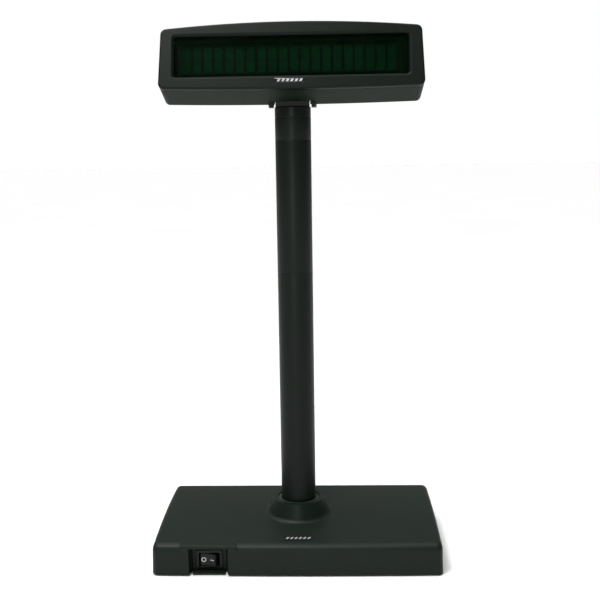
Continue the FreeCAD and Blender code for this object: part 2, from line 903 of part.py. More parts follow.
def make_serial_inserts():
    inserts = []
    inner_width = serial_hood_width - 2 * serial_hood_wall
    inner_height = serial_hood_height - 2 * serial_hood_wall
    back = panel_inner_y - serial_flange_thickness
    for x in serial_x:
        key = d_prism(x, inner_width, inner_height, back - overrun, panel_y)
        half = jackscrew_spacing / 2 - jackscrew_radius
        body = block(x - half, x + half, back - serial_body_depth, back, board_top,
                     serial_z + serial_hood_height / 2)
        inserts.append(joined([key, body]).cut(serial_pin_rods(x)))
    return Part.makeCompound(inserts)


def serial_pin_rods(x):
    start = panel_inner_y - serial_body_depth / 2
    length = panel_y + serial_hood_length - cover_wall - start - overrun
    pins = []
    for count, side in ((5, 1), (4, -1)):
        for index in range(count):
            offset = (index - (count - 1) / 2) * serial_pin_pitch
            place = (x + offset, start, serial_z + side * serial_pin_row / 2)
            pins.append(rod(serial_pin_radius, place, Y_AXIS, length))
    return pins


def make_port_pins():
    pins = []
    for x in serial_x:
        pins += serial_pin_rods(x)
    start = panel_inner_y - serial_body_depth
    pins.append(rod(power_pin_radius, (power_x, start, power_z), Y_AXIS, panel_y - start))
    return Part.makeCompound(pins)


def make_jackscrews():
    screws = []
    for x, z in jackscrew_places():
        shank = panel_y - panel_inner_y + serial_flange_thickness
        size = (small_screw[0], jackscrew_radius, jackscrew_length, shank)
        screws.append(screw(size, (x, panel_y, z), Y_AXIS * -1))
    return Part.makeCompound(screws)


def make_power_inlet():
    half = power_body_width / 2
    rear = panel_inner_y
    body = block(power_x - half, power_x + half, rear - serial_body_depth - cover_wall, rear, board_top,
                 board_top + power_body_height)
    collar = rod(power_bore_radius + power_collar_wall, (power_x, rear, power_z), Y_AXIS, power_collar_length)
    bore_start = rear - serial_body_depth
    bore = rod(power_bore_radius, (power_x, bore_start + overrun, power_z), Y_AXIS, head_depth)
    pin_hole = rod(power_pin_radius, (power_x, bore_start, power_z), Y_AXIS, head_depth)
    return joined([body, collar]).cut([bore, pin_hole])


def make_interface_chips():
    y = board_front_y + chip_row_inset
    chips = [block(x - w / 2, x + w / 2, y - chip_half_depth, y + chip_half_depth,
                   board_top, board_top + chip_height) for x, w in interface_chip_sizes]
    return Part.makeCompound(chips)


def make_interface_capacitors():
    y = board_rear_y - small_can_row_inset
    return Part.makeCompound([rod(small_can_radius, (x, y, board_top), Z_AXIS, small_can_height)
                              for x in small_can_x])


def make_pole_header():
    return block(-header_half_width, header_half_width, board_front_y, board_front_y + header_depth,
                 board_top, cable_level() + header_rise)


# ---------------------------------------------------------------- swivel
def sector(inner, outer, middle_deg, width_deg, z0, z1):
    """A piece of a ring, centred on one direction seen from above."""
    face = ring(outer, inner, z0, z1)
    wedge = Part.makeCylinder(outer * 2, z1 - z0, V(0, 0, z0), Z_AXIS, width_deg)
    wedge.rotate(V(0, 0, 0), Z_AXIS, middle_deg - width_deg / 2)
    return face.common(wedge)


def make_swivel_bush():
    sleeve = ring(pole_bore, spigot_radius + running, bush_bottom, pole_top)
    flange = ring(pole_radius - slip, spigot_radius + running, pole_top, cap_bottom)
    lug = sector(spigot_radius + moving_gap, pole_bore, -90, stop_lug_angle,
                 bush_bottom - stop_height, bush_bottom)
    return joined([sleeve, flange, lug])


def make_swivel_washer():
    top = bush_bottom
    seat = top - stop_height - slip
    washer = ring(pole_bore - moving_gap, spigot_radius, seat - washer_thickness, seat)
    width = 2 * (180 - swivel_limit - stop_margin) - stop_lug_angle
    lug = sector(spigot_radius, pole_bore - moving_gap, 90, width, seat, top - slip)
    return joined([washer, lug])


def make_swivel_nut():
    top = bush_bottom - stop_height - slip - washer_thickness
    corner = pole_bore - moving_gap
    points = [(corner * math.cos(math.radians(a)), corner * math.sin(math.radians(a)), top - nut_height)
              for a in range(0, 360, 60)]
    return polygon(points, Z_AXIS, nut_height).cut(rod(spigot_radius, (0, 0, 0), Z_AXIS, pole_top))


def neck_route():
    turn_z = cap_top + overrun
    return [(0, 0, cable_split + split_gap), (0, 0, turn_z), (0, neck_exit_y, turn_z + neck_exit_rise)]


def make_neck():
    spigot_end = bush_bottom - stop_height - slip - washer_thickness - nut_height
    spigot = rod(spigot_radius, (0, 0, spigot_end), Z_AXIS, cap_bottom - spigot_end)
    cap = rod(pole_radius, (0, 0, cap_bottom), Z_AXIS, cap_top - cap_bottom)
    cap = cap.makeFillet(cap_soft_edge, edges_where(cap, lambda e: e.BoundBox.ZMin > cap_top - running))
    post = block(-post_half_width, post_half_width, -post_half_depth, post_half_depth, cap_top, blade_start)
    blade = block(-blade_half_width, blade_half_width, -post_half_depth, post_half_depth, cap_top, pivot_height)
    eye = rod(eye_radius, (-blade_half_width, 0, pivot_height), X_AXIS, 2 * blade_half_width)
    solid = joined([spigot, cap, post, blade, eye])
    passage = rod(spigot_bore, (0, 0, spigot_end - overrun), Z_AXIS, cap_top - spigot_end)
    tunnel = tube_along(neck_route(), cable_radius + cable_room)
    bore = rod(pin_radius + running, (-pole_radius, 0, pivot_height), X_AXIS, 2 * pole_radius)
    return without(solid, [passage, tunnel, bore])


def make_neck_cable():
    return tube_along(neck_route(), cable_radius)


def make_pole_cable():
    level = cable_level()
    return tube_along([(0, board_front_y, level), (0, 0, level), (0, 0, cable_split)], cable_radius)


def make_switch_leads():
    leads = []
    rear = recess_back_y + switch_length + terminal_length + slip
    for side in (-1, 1):
        x = terminal_x(side)
        end_x = -board_width / 2 + lead_pad_inset + lead_pad_half_gap * side
        level = board_top + lead_radius
        points = [(x, rear, switch_z)]
        points += [(x + lead_first_bend[0], rear + lead_first_bend[1], switch_z + lead_first_bend[2])]
        points += [(end_x + lead_last_bend[0], board_front_y + lead_last_bend[1], level + lead_last_bend[2])]
        points += [(end_x, board_front_y + lead_pad_depth, level)]
        leads.append(tube_along(points, lead_radius))
    return Part.makeCompound(leads)


# ---------------------------------------------------------------- head: placing and outlines
def in_head(shape):
    """Put a shape from the head's own frame (u, d, v) in its place on the neck."""
    shape.translate(V(0, -pivot_d, -pivot_v))
    shape.rotate(V(0, 0, 0), X_AXIS, -rest_tilt)
    shape.translate(V(0, 0, pivot_height))
    return shape


def front_outline(d, inset):
    """The face's outline: both long edges arch outwards and the sides lean in towards the top."""
    half_top = face_half_top - inset
    half_low = face_half_bottom - inset
    a = V(-half_top, d, face_top_end - inset)
    b = V(half_top, d, face_top_end - inset)
    c = V(half_low, d, face_bottom_end + inset)
    e = V(-half_low, d, face_bottom_end + inset)
    top = Part.Arc(a, V(0, d, face_top_middle - inset), b).toShape()
    low = Part.Arc(c, V(0, d, face_bottom_middle + inset), e).toShape()
    sides = [Part.LineSegment(p, q).toShape() for p, q in ((b, c), (e, a))]
    return Part.Wire([top, sides[0], low, sides[1]])


def long_edges(shape):
    return edges_where(shape, lambda e: e.BoundBox.YLength > bezel_depth / 2 and e.BoundBox.XLength < head_corner)


def underside(inset):
    """All that lies above the chin, the keel and the rising rear, which bow down towards the middle."""
    chin_v = face_bottom_middle
    fall = (chin_v - keel_v) / (keel_d - bezel_depth)
    rise = (rear_bottom_v - keel_v) / (head_depth - keel_d)
    front_d = -overrun
    rear_d = head_depth + overrun
    lift = inset * math.hypot(1, (fall + rise) / 2)
    high = face_top_middle * 2
    points = [(0, front_d, chin_v + fall * (bezel_depth - front_d) + lift), (0, keel_d, keel_v + lift),
              (0, rear_d, keel_v + rise * (rear_d - keel_d) + lift), (0, rear_d, high), (0, front_d, high)]
    bow = face_bottom_end - face_bottom_middle
    bow_radius = face_half_bottom ** 2 / (2 * bow)
    spread = math.degrees(face_half_bottom / bow_radius) * 1.2
    outline = Part.makePolygon([V(*p) for p in points] + [V(*points[0])])
    face = Part.Face(outline)
    centre = V(0, 0, face_bottom_middle + bow_radius)
    face.rotate(centre, Y_AXIS, -spread)
    return face.revolve(centre, Y_AXIS, 2 * spread)


def rear_block(inset):
    """The solid shape of the rear cover: a taper from the parting line to the rear wall."""
    drop = keel_v - overrun - face_bottom_end
    taper = Part.makeLoft([lowered(bezel_depth, inset, face_top_middle, face_top_end, 0, drop),
                           lowered(head_depth - inset, inset, rear_top_middle, rear_top_end, rear_side_inset, drop)],
                          True, True)
    body = taper.common(underside(inset))
    body = body.makeFillet(head_corner - inset / 2, long_edges(body))

    def is_rear(edge):
        return edge.BoundBox.YMin > head_depth - inset - head_corner

    return body.makeFillet(max(rear_edge - inset, overrun), edges_where(body, is_rear))


def lowered(d, inset, top_middle, top_end, side_inset, drop):
    """The head's outline with its lower edge well below the keel, to be trimmed to the underside."""
    half_top = face_half_top - side_inset - inset
    half_low = face_half_bottom - side_inset - inset
    widen = (half_low - half_top) / (top_end - face_bottom_end) * -drop
    a = V(-half_top, d, top_end - inset)
    b = V(half_top, d, top_end - inset)
    c = V(half_low + widen, d, face_bottom_end + drop)
    e = V(-half_low - widen, d, face_bottom_end + drop)
    top = Part.Arc(a, V(0, d, top_middle - inset), b).toShape()
    lines = [Part.LineSegment(p, q).toShape() for p, q in ((b, c), (c, e), (e, a))]
    return Part.Wire([top] + lines)


# ---------------------------------------------------------------- head: cases
def bezel_block(inset):
    body = Part.Face(front_outline(0, inset)).extrude(V(0, bezel_depth, 0))
    return body.makeFillet(head_corner - inset / 2, long_edges(body))


def window_prism(grow, d0, d1):
    half = window_half_width + grow
    opening = block(-half, half, d0, d1, window_bottom - grow, window_top + grow)
    return opening.makeFillet(window_corner, edges_where(opening, lambda e: e.BoundBox.YLength > (d1 - d0) / 2))


def window_bevel_cutter():
    """The sloping rim round the window, widest at the face."""
    def rim(grow, d):
        half = window_half_width + grow
        points = ((-half, window_bottom - grow), (half, window_bottom - grow), (half, window_top + grow),
                  (-half, window_top + grow), (-half, window_bottom - grow))
        return Part.makePolygon([V(u, d, v) for u, v in points])

    return Part.makeLoft([rim(window_bevel, 0), rim(0, window_bevel)], True, True)


def make_front_bezel():
    outer = bezel_block(0)

    def is_face_edge(edge):
        return edge.BoundBox.YMax < running

    outer = outer.makeFillet(bezel_edge, edges_where(outer, is_face_edge))
    hollow_start = filter_front_d + filter_thickness
    wall = head_wall
    behind = block(-base_width, base_width, hollow_start, bezel_depth + overrun, -base_width, base_width)
    hollow = bezel_block(wall).common(behind)
    pocket = filter_plate(slip, filter_front_d, hollow_start + overrun)
    bosses = [rod(display_boss_radius, (u, hollow_start, v), Y_AXIS, display_board_d - hollow_start)
              for u, v in display_screws]
    bosses += [rod(case_boss_radius, (u, filter_front_d, case_screw_v), Y_AXIS, bezel_depth - filter_front_d)
               .common(outer) for u in case_screw_u]
    shell = joined([outer.cut(hollow)] + bosses)
    cutters = [window_prism(0, -overrun, bezel_depth), window_bevel_cutter(), pocket, head_badge_plate(0)]
    cutters += [rod(small_screw[0], (u, display_board_d - display_pilot, v), Y_AXIS, display_pilot + overrun)
                for u, v in display_screws]
    cutters += [rod(case_screw[0], (u, case_pilot_end_d, case_screw_v), Y_AXIS, bezel_depth)
                for u in case_screw_u]
    return in_head(without(shell, cutters))


def filter_plate(grow, d0, d1):
    half = window_half_width + filter_margin + grow
    return block(-half, half, d0, d1, window_bottom - filter_margin - grow, window_top + filter_margin + grow)


def make_filter_window():
    return in_head(filter_plate(0, filter_front_d, filter_front_d + filter_thickness))


def head_badge_plate(proud):
    half = badge_width / 2
    return block(badge_middle_u - half, badge_middle_u + half, -proud, badge_sunk,
                 badge_v - badge_height / 2, badge_v + badge_height / 2)


def make_head_badge():
    return in_head(head_badge_plate(badge_proud))


def cheek(side):
    """One side wall of the neck opening, which hangs below the keel."""
    profile = ((cheek_front_d, keel_v + cheek_root), cheek_foot_front, cheek_foot_rear,
               (cheek_rear_d, rear_bottom_v - cheek_root), (cheek_rear_d, rear_bottom_v + cheek_rear_root),
               (cheek_front_d, keel_v + 2 * cheek_root))
    inner = side * cheek_inner
    solid = polygon([(inner, d, v) for d, v in profile], X_AXIS * side, cheek_outer - cheek_inner)
    low = cheek_foot_front[1]
    edge = [(side * cheek_outer, 0, low + cheek_chamfer), (side * (cheek_outer + overrun), 0, low - overrun),
            (side * (cheek_outer - cheek_chamfer), 0, low - overrun)]
    return solid.cut(polygon(edge, Y_AXIS, head_depth))


def neck_slot():
    half = post_half_width + moving_gap
    return block(-half, half, slot_front_d, slot_rear_d, 2 * keel_v, rear_bottom_v + slot_rise)


def vents():
    cutters = []
    for index in range(vent_count):
        u = (index - (vent_count - 1) / 2) * vent_pitch
        cutters.append(block(u - vent_width / 2, u + vent_width / 2, head_depth - head_wall - overrun,
                             head_depth + overrun, -vent_length / 2, vent_length / 2))
    return cutters


def make_rear_cover():
    outer = rear_block(0)
    inner = rear_block(head_wall)
    lip = bezel_block(head_wall)
    lip.translate(V(0, bezel_depth - overrun, 0))
    shell = outer.cut(joined([inner, lip]))
    bosses = [rod(case_boss_radius + case_boss_extra, (u, bezel_depth, case_screw_v), Y_AXIS, head_depth)
              .common(outer) for u in case_screw_u]
    rear_face = head_depth - head_wall
    for u, v in bracket_screw_places():
        start = bracket_web_d + ear_thickness
        bosses.append(rod(bracket_boss_radius, (u, start, v), Y_AXIS, rear_face - start + overrun))
    cheeks = [cheek(side) for side in (-1, 1)]
    shell = joined([shell] + bosses + cheeks)
    cutters = [neck_slot()] + vents()
    for u in case_screw_u:
        cutters.append(rod(case_screw[0], (u, 0, case_screw_v), Y_AXIS, head_depth))
        cutters.append(rod(case_screw[1] + slip, (u, case_screw_seat_d, case_screw_v), Y_AXIS, head_depth))
    for u, v in bracket_screw_places():
        cutters.append(rod(small_screw[0], (u, 0, v), Y_AXIS, rear_face - bracket_pilot_rest))
    return in_head(without(shell, cutters))


def make_case_screws():
    length = case_screw_seat_d - case_pilot_end_d
    size = case_screw + (length,)
    return in_head(Part.makeCompound([screw(size, (u, case_screw_seat_d, case_screw_v), Y_AXIS * -1)
                                      for u in case_screw_u]))


# ---------------------------------------------------------------- head: tilt bracket
def bracket_screw_places():
    return [(side * bracket_screw_u, v) for side in (-1, 1) for v in bracket_screw_v]


def ear(side):
    inner = side * (blade_half_width + washer_gap)
    round_end = rod(ear_radius, (inner, pivot_d, pivot_v), X_AXIS * side, ear_thickness)
    profile = ((pivot_d - ear_radius, pivot_v), (pivot_d + ear_radius, pivot_v), (bracket_web_d, bracket_bottom_v),
               (bracket_web_d, bracket_top_v), (bracket_web_d - ear_radius, bracket_top_v))
    arm = polygon([(inner, d, v) for d, v in profile], X_AXIS * side, ear_thickness)
    return joined([round_end, arm])


def make_tilt_bracket():
    web = block(-bracket_half_width, bracket_half_width, bracket_web_d, bracket_web_d + ear_thickness,
                bracket_bottom_v, bracket_top_v)
    solid = joined([web, ear(-1), ear(1)])
    cutters = [rod(pin_radius, (-bracket_half_width, pivot_d, pivot_v), X_AXIS, 2 * bracket_half_width)]
    cutters += [rod(small_screw[0], (u, 0, v), Y_AXIS, head_depth) for u, v in bracket_screw_places()]
    return in_head(without(solid, cutters))


def make_bracket_screws():
    size = small_screw + (bracket_screw_length,)
    return in_head(Part.makeCompound([screw(size, (u, bracket_web_d, v), Y_AXIS)
                                      for u, v in bracket_screw_places()]))


def ear_outside():
    return blade_half_width + washer_gap + ear_thickness


def make_hinge_pin():
    reach = ear_outside()
    shaft = rod(pin_radius, (-reach, pivot_d, pivot_v), X_AXIS, 2 * reach + pin_end)
    head_radius, head_height = pin_head
    head = rod(head_radius, (-reach - head_height, pivot_d, pivot_v), X_AXIS, head_height)
    return in_head(shaft.fuse(head))


def make_hinge_nut():
    reach = ear_outside()
    points = [(reach, pivot_d + hinge_nut_corner * math.cos(math.radians(a)),
               pivot_v + hinge_nut_corner * math.sin(math.radians(a))) for a in range(0, 360, 60)]
    nut = polygon(points, X_AXIS, hinge_nut_height)
    return in_head(nut.cut(rod(pin_radius, (0, pivot_d, pivot_v), X_AXIS, head_depth)))


def make_friction_washers():
    washers = []
    for side in (-1, 1):
        start = (side * blade_half_width, pivot_d, pivot_v)
        disc = rod(ear_radius - washer_inset, start, X_AXIS * side, washer_gap)
        washers.append(disc.cut(rod(pin_radius, start, X_AXIS * side, washer_gap)))
    return in_head(Part.makeCompound(washers))


# ---------------------------------------------------------------- head: display
def glass(d0, d1, u_trim, v_trim):
    half = vfd_length / 2 - u_trim
    return block(vfd_middle_u - half, vfd_middle_u + half, d0, d1, vfd_bottom + v_trim, vfd_top - v_trim)


def make_vfd_front_glass():
    """A shallow glass tray, sealed to the rear plate by its rim."""
    tray = glass(vfd_front_d, cells_d, 0, 0)
    return in_head(tray.cut(glass(vfd_front_d + glass_thickness, cells_d + overrun, vfd_seal, vfd_seal)))


def make_vfd_rear_glass():
    plate = glass(cells_d, cells_d + glass_thickness, 0, 0)
    end_u = vfd_middle_u + vfd_length / 2 - tip_inset_u
    end_v = vfd_top - tip_inset_v
    back = cells_d + glass_thickness
    tip = rod(tip_radius, (end_u, back, end_v), Y_AXIS, tip_length - tip_radius)
    cap = Part.makeSphere(tip_radius, V(end_u, back + tip_length - tip_radius, end_v))
    behind = block(0, base_width, back, head_depth, 2 * keel_v, -2 * keel_v)
    return in_head(joined([plate, tip, cap.common(behind)]))


def column_u(index):
    return first_column + index * column_pitch


def make_vfd_cells():
    cells = []
    for column in range(columns):
        for row in range(rows):
            low = cell_bottom + row * (cell_height + row_gap)
            u = column_u(column)
            cells.append(block(u - cell_width / 2, u + cell_width / 2, cells_d - coating, cells_d,
                               low, low + cell_height))
    return in_head(Part.makeCompound(cells))


def make_vfd_grids():
    """One thin metal frame in front of each column, on two feet."""
    frames = []
    half = cell_width / 2 + grid_overlap_u
    low = cell_bottom - grid_overlap_v
    high = cell_top + grid_overlap_v
    rear = cells_d - grid_lift
    for column in range(columns):
        u = column_u(column)
        sheet = block(u - half, u + half, rear - grid_thickness, rear, low, high)
        opening = block(u - half + grid_rim_u, u + half - grid_rim_u, rear - overrun, rear + overrun,
                        low + grid_rim_v, high - grid_rim_v)
        foot = grid_thickness * 2
        feet = [block(u - half, u + half, rear, cells_d, v, v + foot) for v in (low, high - foot)]
        middle = cell_bottom + cell_height + row_gap / 2
        bar = block(u - half, u + half, rear - grid_thickness, rear,
                    middle - grid_bar_half, middle + grid_bar_half)
        frames.append(joined([sheet.cut(opening), bar] + feet))
    return in_head(Part.makeCompound(frames))


def make_vfd_filaments():
    """Fine wires along the tube, stretched between a bracket at each end."""
    d = cells_d - filament_lift
    half = vfd_length / 2 - vfd_seal - filament_end_inset
    spacing = (cell_top - cell_bottom) / filaments
    pieces = []
    for side in (-1, 1):
        u = vfd_middle_u + side * half
        pieces.append(block(u - filament_bracket_half, u + filament_bracket_half,
                            d - filament_bracket_lip, cells_d, cell_bottom, cell_top))
    for index in range(filaments):
        v = cell_bottom + spacing * (index + 0.5)
        pieces.append(rod(filament_radius, (vfd_middle_u - half, d, v), X_AXIS, 2 * half))
    return in_head(joined(pieces))


def make_vfd_leads():
    """Flat leads from the glass seal, bent back to the display board."""
    pitch = (vfd_length - 2 * lead_end_inset) / (lead_count - 1)
    start = vfd_middle_u - pitch * (lead_count - 1) / 2
    d = cells_d
    leads = []
    for index in range(lead_count):
        u = start + index * pitch
        side = (u - lead_width / 2, u + lead_width / 2)
        drop = block(*side, d, d + lead_thickness, vfd_bottom - lead_drop, vfd_bottom)
        back = block(*side, d, display_board_back + lead_past_board,
                     vfd_bottom - lead_drop, vfd_bottom - lead_drop + lead_thickness)
        leads.append(drop.fuse(back))
    return in_head(Part.makeCompound(leads))


def make_display_board():
    half = display_board_half_width
    plate = block(-half, half, display_board_d, display_board_back, display_board_bottom, display_board_top)
    corners = edges_where(plate, lambda e: e.BoundBox.YLength > board_thickness / 2)
    plate = plate.makeFillet(display_board_corner, corners)
    reach = vfd_length / 2 - lead_end_inset + lead_slot_margin
    row = block(vfd_middle_u - reach, vfd_middle_u + reach, display_board_d, display_board_back,
                vfd_bottom - lead_drop, vfd_bottom - lead_drop + lead_thickness)
    holes = [rod(small_screw[0], (u, 0, v), Y_AXIS, head_depth) for u, v in display_screws]
    return in_head(plate.cut(holes + [row]))


def make_display_screws():
    size = small_screw + (display_screw_length,)
    return in_head(Part.makeCompound([screw(size, (u, display_board_back, v), Y_AXIS * -1)
                                      for u, v in display_screws]))


def make_driver_chips():
    back = display_board_back
    chips = [block(u - w / 2, u + w / 2, back, back + chip_height, v - h / 2, v + h / 2)
             for u, v, w, h in driver_chip_sizes]
    return in_head(Part.makeCompound(chips))


def make_display_capacitors():
    return in_head(Part.makeCompound([rod(large_can_radius, (u, display_board_back, v), Y_AXIS, large_can_height)
                                      for u, v in large_can_places]))


def make_converter_coil():
    u, v = coil_place
    far = display_board_back + coil_height - coil_flange
    flanges = [rod(coil_flange_radius, (u, d, v), Y_AXIS, coil_flange) for d in (display_board_back, far)]
    return in_head(joined([rod(coil_radius, (u, display_board_back, v), Y_AXIS, coil_height)] + flanges))


def make_cable_header():
    return in_head(block(cable_header_u - cable_header_half_width, cable_header_u + cable_header_half_width,
                         display_board_back, display_board_back + cable_header_depth,
                         cable_header_v - cable_header_half_height, cable_header_v + cable_header_half_height))


def make_head_cable():
    """From the neck, up behind the bracket, across the rear wall and forward to the display board."""
    end_d = display_board_back + cable_header_depth
    start = (0, head_cable_d - head_cable_start, pivot_v)
    return in_head(tube_along([start, (head_cable_side, head_cable_d, cable_header_v + head_cable_arch),
                               (cable_header_u, head_cable_d, cable_header_v),
                               (cable_header_u, end_d, cable_header_v)], cable_radius))


# ---------------------------------------------------------------- every sub-part
parts = {
    "base_cover": make_base_cover,
    "base_badge": make_base_badge,
    "pole_foot_ring": make_foot_ring,
    "base_floor": make_base_floor,
    "rubber_feet": make_rubber_feet,
    "floor_screws": make_floor_screws,
    "ballast_plate": make_ballast_plate,
    "plate_screws": make_plate_screws,
    "pole_socket": make_pole_socket,
    "pole_lower": make_pole_lower,
    "pole_joiner": make_pole_joiner,
    "pole_upper": make_pole_upper,
    "pole_top_tube": make_pole_top_tube,
    "switch_body": make_switch_body,
    "switch_terminals": make_switch_terminals,
    "switch_leads": make_switch_leads,
    "rocker_button": make_rocker_button,
    "rocker_marks": make_rocker_marks,
    "rocker_plunger": make_rocker_plunger,
    "interface_board": make_interface_board,
    "board_standoffs": make_board_standoffs,
    "board_screws": make_board_screws,
    "serial_port_shells": make_serial_shells,
    "serial_port_inserts": make_serial_inserts,
    "port_pins": make_port_pins,
    "jackscrews": make_jackscrews,
    "power_inlet": make_power_inlet,
    "interface_chips": make_interface_chips,
    "interface_capacitors": make_interface_capacitors,
    "pole_header": make_pole_header,
    "pole_cable": make_pole_cable,
    "swivel_bush": make_swivel_bush,
    "swivel_washer": make_swivel_washer,
    "swivel_nut": make_swivel_nut,
    "neck": make_neck,
    "neck_cable": make_neck_cable,
    "front_bezel": make_front_bezel,
    "rear_cover": make_rear_cover,
    "case_screws": make_case_screws,
    "filter_window": make_filter_window,
    "head_badge": make_head_badge,
    "tilt_bracket": make_tilt_bracket,
    "bracket_screws": make_bracket_screws,
    "hinge_pin": make_hinge_pin,
    "hinge_nut": make_hinge_nut,
    "friction_washers": make_friction_washers,
    "vfd_front_glass": make_vfd_front_glass,
    "vfd_rear_glass": make_vfd_rear_glass,
    "vfd_cells": make_vfd_cells,
    "vfd_grids": make_vfd_grids,
    "vfd_filaments": make_vfd_filaments,
    "vfd_leads": make_vfd_leads,
    "display_board": make_display_board,
    "display_screws": make_display_screws,
    "driver_chips": make_driver_chips,
    "display_capacitors": make_display_capacitors,
    "converter_coil": make_converter_coil,
    "cable_header": make_cable_header,
    "head_cable": make_head_cable,
}

os.makedirs("parts", exist_ok=True)
for name, make in parts.items():
    save(name, make())
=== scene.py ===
import math

import bpy
import numpy as np
from mathutils import Matrix


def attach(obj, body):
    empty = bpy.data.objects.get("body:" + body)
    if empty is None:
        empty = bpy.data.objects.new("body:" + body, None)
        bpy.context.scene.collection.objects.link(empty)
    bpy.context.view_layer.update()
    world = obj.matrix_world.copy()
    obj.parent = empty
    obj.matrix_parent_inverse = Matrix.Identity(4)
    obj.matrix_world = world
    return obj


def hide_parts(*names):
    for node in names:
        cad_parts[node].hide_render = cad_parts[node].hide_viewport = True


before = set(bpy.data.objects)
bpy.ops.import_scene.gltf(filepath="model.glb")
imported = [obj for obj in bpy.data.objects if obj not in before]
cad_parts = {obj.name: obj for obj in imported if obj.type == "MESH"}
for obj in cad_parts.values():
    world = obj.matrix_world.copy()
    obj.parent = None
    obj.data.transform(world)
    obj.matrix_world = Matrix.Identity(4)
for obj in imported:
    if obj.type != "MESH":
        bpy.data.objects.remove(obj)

# The looks of a customer pole display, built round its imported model.
# Sizes are in millimetres until new_piece turns them into metres.
MM = 0.001
TURN = 2 * math.pi
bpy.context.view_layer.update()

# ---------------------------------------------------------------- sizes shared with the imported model
POLE_RADIUS = 14.3
POLE_BORE = 12.3
POLE_LOW_JOINT = 234.0
POLE_HIGH_JOINT = 339.0
POLE_TOP = 357.0
RING_LOW = 36.4
RING_TOP = 42.4
RING_OUTER = 17.3
RING_BORE = 14.35
FOOT_PLACES = [(sx * 89.5, sy * 35.5) for sx in (-1, 1) for sy in (-1, 1)]
BOSS_PLACES = [(sx * 105.5, sy * 50.5) for sx in (-1, 1) for sy in (-1, 1)]
SWITCH_X = -69.8
SWITCH_Z = 11.0
SWITCH_BACK_Y = -53.6
ROCKER_PIVOT_Y = -51.4
PIVOT_HEIGHT = 384.0
PIVOT_D = 25.3
PIVOT_V = -14.25
REST_TILT = math.radians(14.2)
SERIAL_X = (-30.0, 6.0)
SERIAL_Z = 18.65
PANEL_Y = 54.5
PANEL_INNER_Y = 52.0
CROWN_RADIUS = 620.0
CROWN_TOP = 31.3
CROWN_RIDGE_Y = 25.7
BASE_BADGE_PLACE = (1.0, -50.5)
HEAD_BADGE_PLACE = (-0.9, 0.0, -21.0)
BADGE_INK_HEIGHTS = (0.25, 0.36)
CASE_SCREW_U = (-78.0, -34.0, 34.0, 78.0)
CASE_SCREW_D, CASE_SCREW_V = 13.0, -23.9
FLOOR_SCREW_Z = 1.02
JACK_REACH = 12.5

ROCKER_END = 5.72
ROCKER_RIDGE = 4.2
ROCKER_SLOPE = math.radians(12.0)
ROCKER_SCOOP, ROCKER_SCOOP_REACH = 0.28, 6.6
ROCKER_ROUND = 7.95
ROCKER_ROUND_FOOT = 2.0
ROCKER_MIDDLE = (0.0, -1.4)
ROCKER_HALF_LENGTH = 7.0
MARK_SHARE = 0.6
MARK_MIDDLE = ROCKER_END * MARK_SHARE

CELL_COLUMNS, CELL_ROWS = 20, 2
DOTS_WIDE, DOTS_TALL = 5, 7
CELL_PITCH = 8.38
CELL_WIDTH, CELL_HEIGHT = 6.3, 9.75
CELL_ROW_GAP = 0.8
CELL_MIDDLE_U, CELL_FOOT_V = -2.0, -10.9
DOT_D, GROUND_D, CELL_BACK_D = 10.08, 10.16, 10.2
DOT_HALF_SHARE = 0.45

BEZEL_HALF_TOP, BEZEL_HALF_LOW = 100.3, 102.2
BEZEL_TOP_END, BEZEL_TOP_MIDDLE = 21.0, 25.79
BEZEL_LOW_END, BEZEL_LOW_MIDDLE = -25.9, -27.4
BEZEL_CORNER, BEZEL_EDGE = 4.5, 1.4
BEZEL_DEPTH = 5.0
WINDOW_HALF, WINDOW_TOP, WINDOW_LOW = 90.0, 15.1, -16.7

FLOOR_HALF, FLOOR_DROP = 40, 0.0002
FRONT_GLOW, BACK_GLOW, GLOW_START = 0.06, 0.35, -0.35


# ---------------------------------------------------------------- surfaces
def rounded_loop(corners, radius, steps=5):
    """A closed outline with round corners: each corner becomes an exact arc, written as a weighted
    quadratic from the point where the arc leaves one side to the point where it joins the next."""
    corners = np.asarray(corners, float)
    radius = np.broadcast_to(np.asarray(radius, float), len(corners))
    before = np.roll(corners, 1, 0) - corners
    after = np.roll(corners, -1, 0) - corners
    before /= np.linalg.norm(before, axis=1, keepdims=True)
    after /= np.linalg.norm(after, axis=1, keepdims=True)
    half = np.arccos(np.clip(-(before * after).sum(1), -1, 1)) / 2
    reach = (radius * np.tan(half))[:, None, None]
    s = np.linspace(0, 1, steps + 1)[None, :, None]
    pull = 2 * s * (1 - s) * np.cos(half)[:, None, None]
    middle = corners[:, None]
    start = middle + before[:, None] * reach
    end = middle + after[:, None] * reach
    points = ((1 - s) ** 2 * start + pull * middle + s ** 2 * end) / ((1 - s) ** 2 + pull + s ** 2)
    return points.reshape(-1, 2)


def rectangle(half_x, half_y, radius, steps=5):
    """A round-cornered rectangle about zero, anticlockwise."""
    corners = [(-half_x, -half_y), (half_x, -half_y), (half_x, half_y), (-half_x, half_y)]
    return rounded_loop(corners, radius, steps)


def circle(radius, count=40):
    """Points evenly round a circle: x = r cos a, y = r sin a."""
    a = np.arange(count) / count * TURN
    return np.stack([radius * np.cos(a), radius * np.sin(a)], -1)


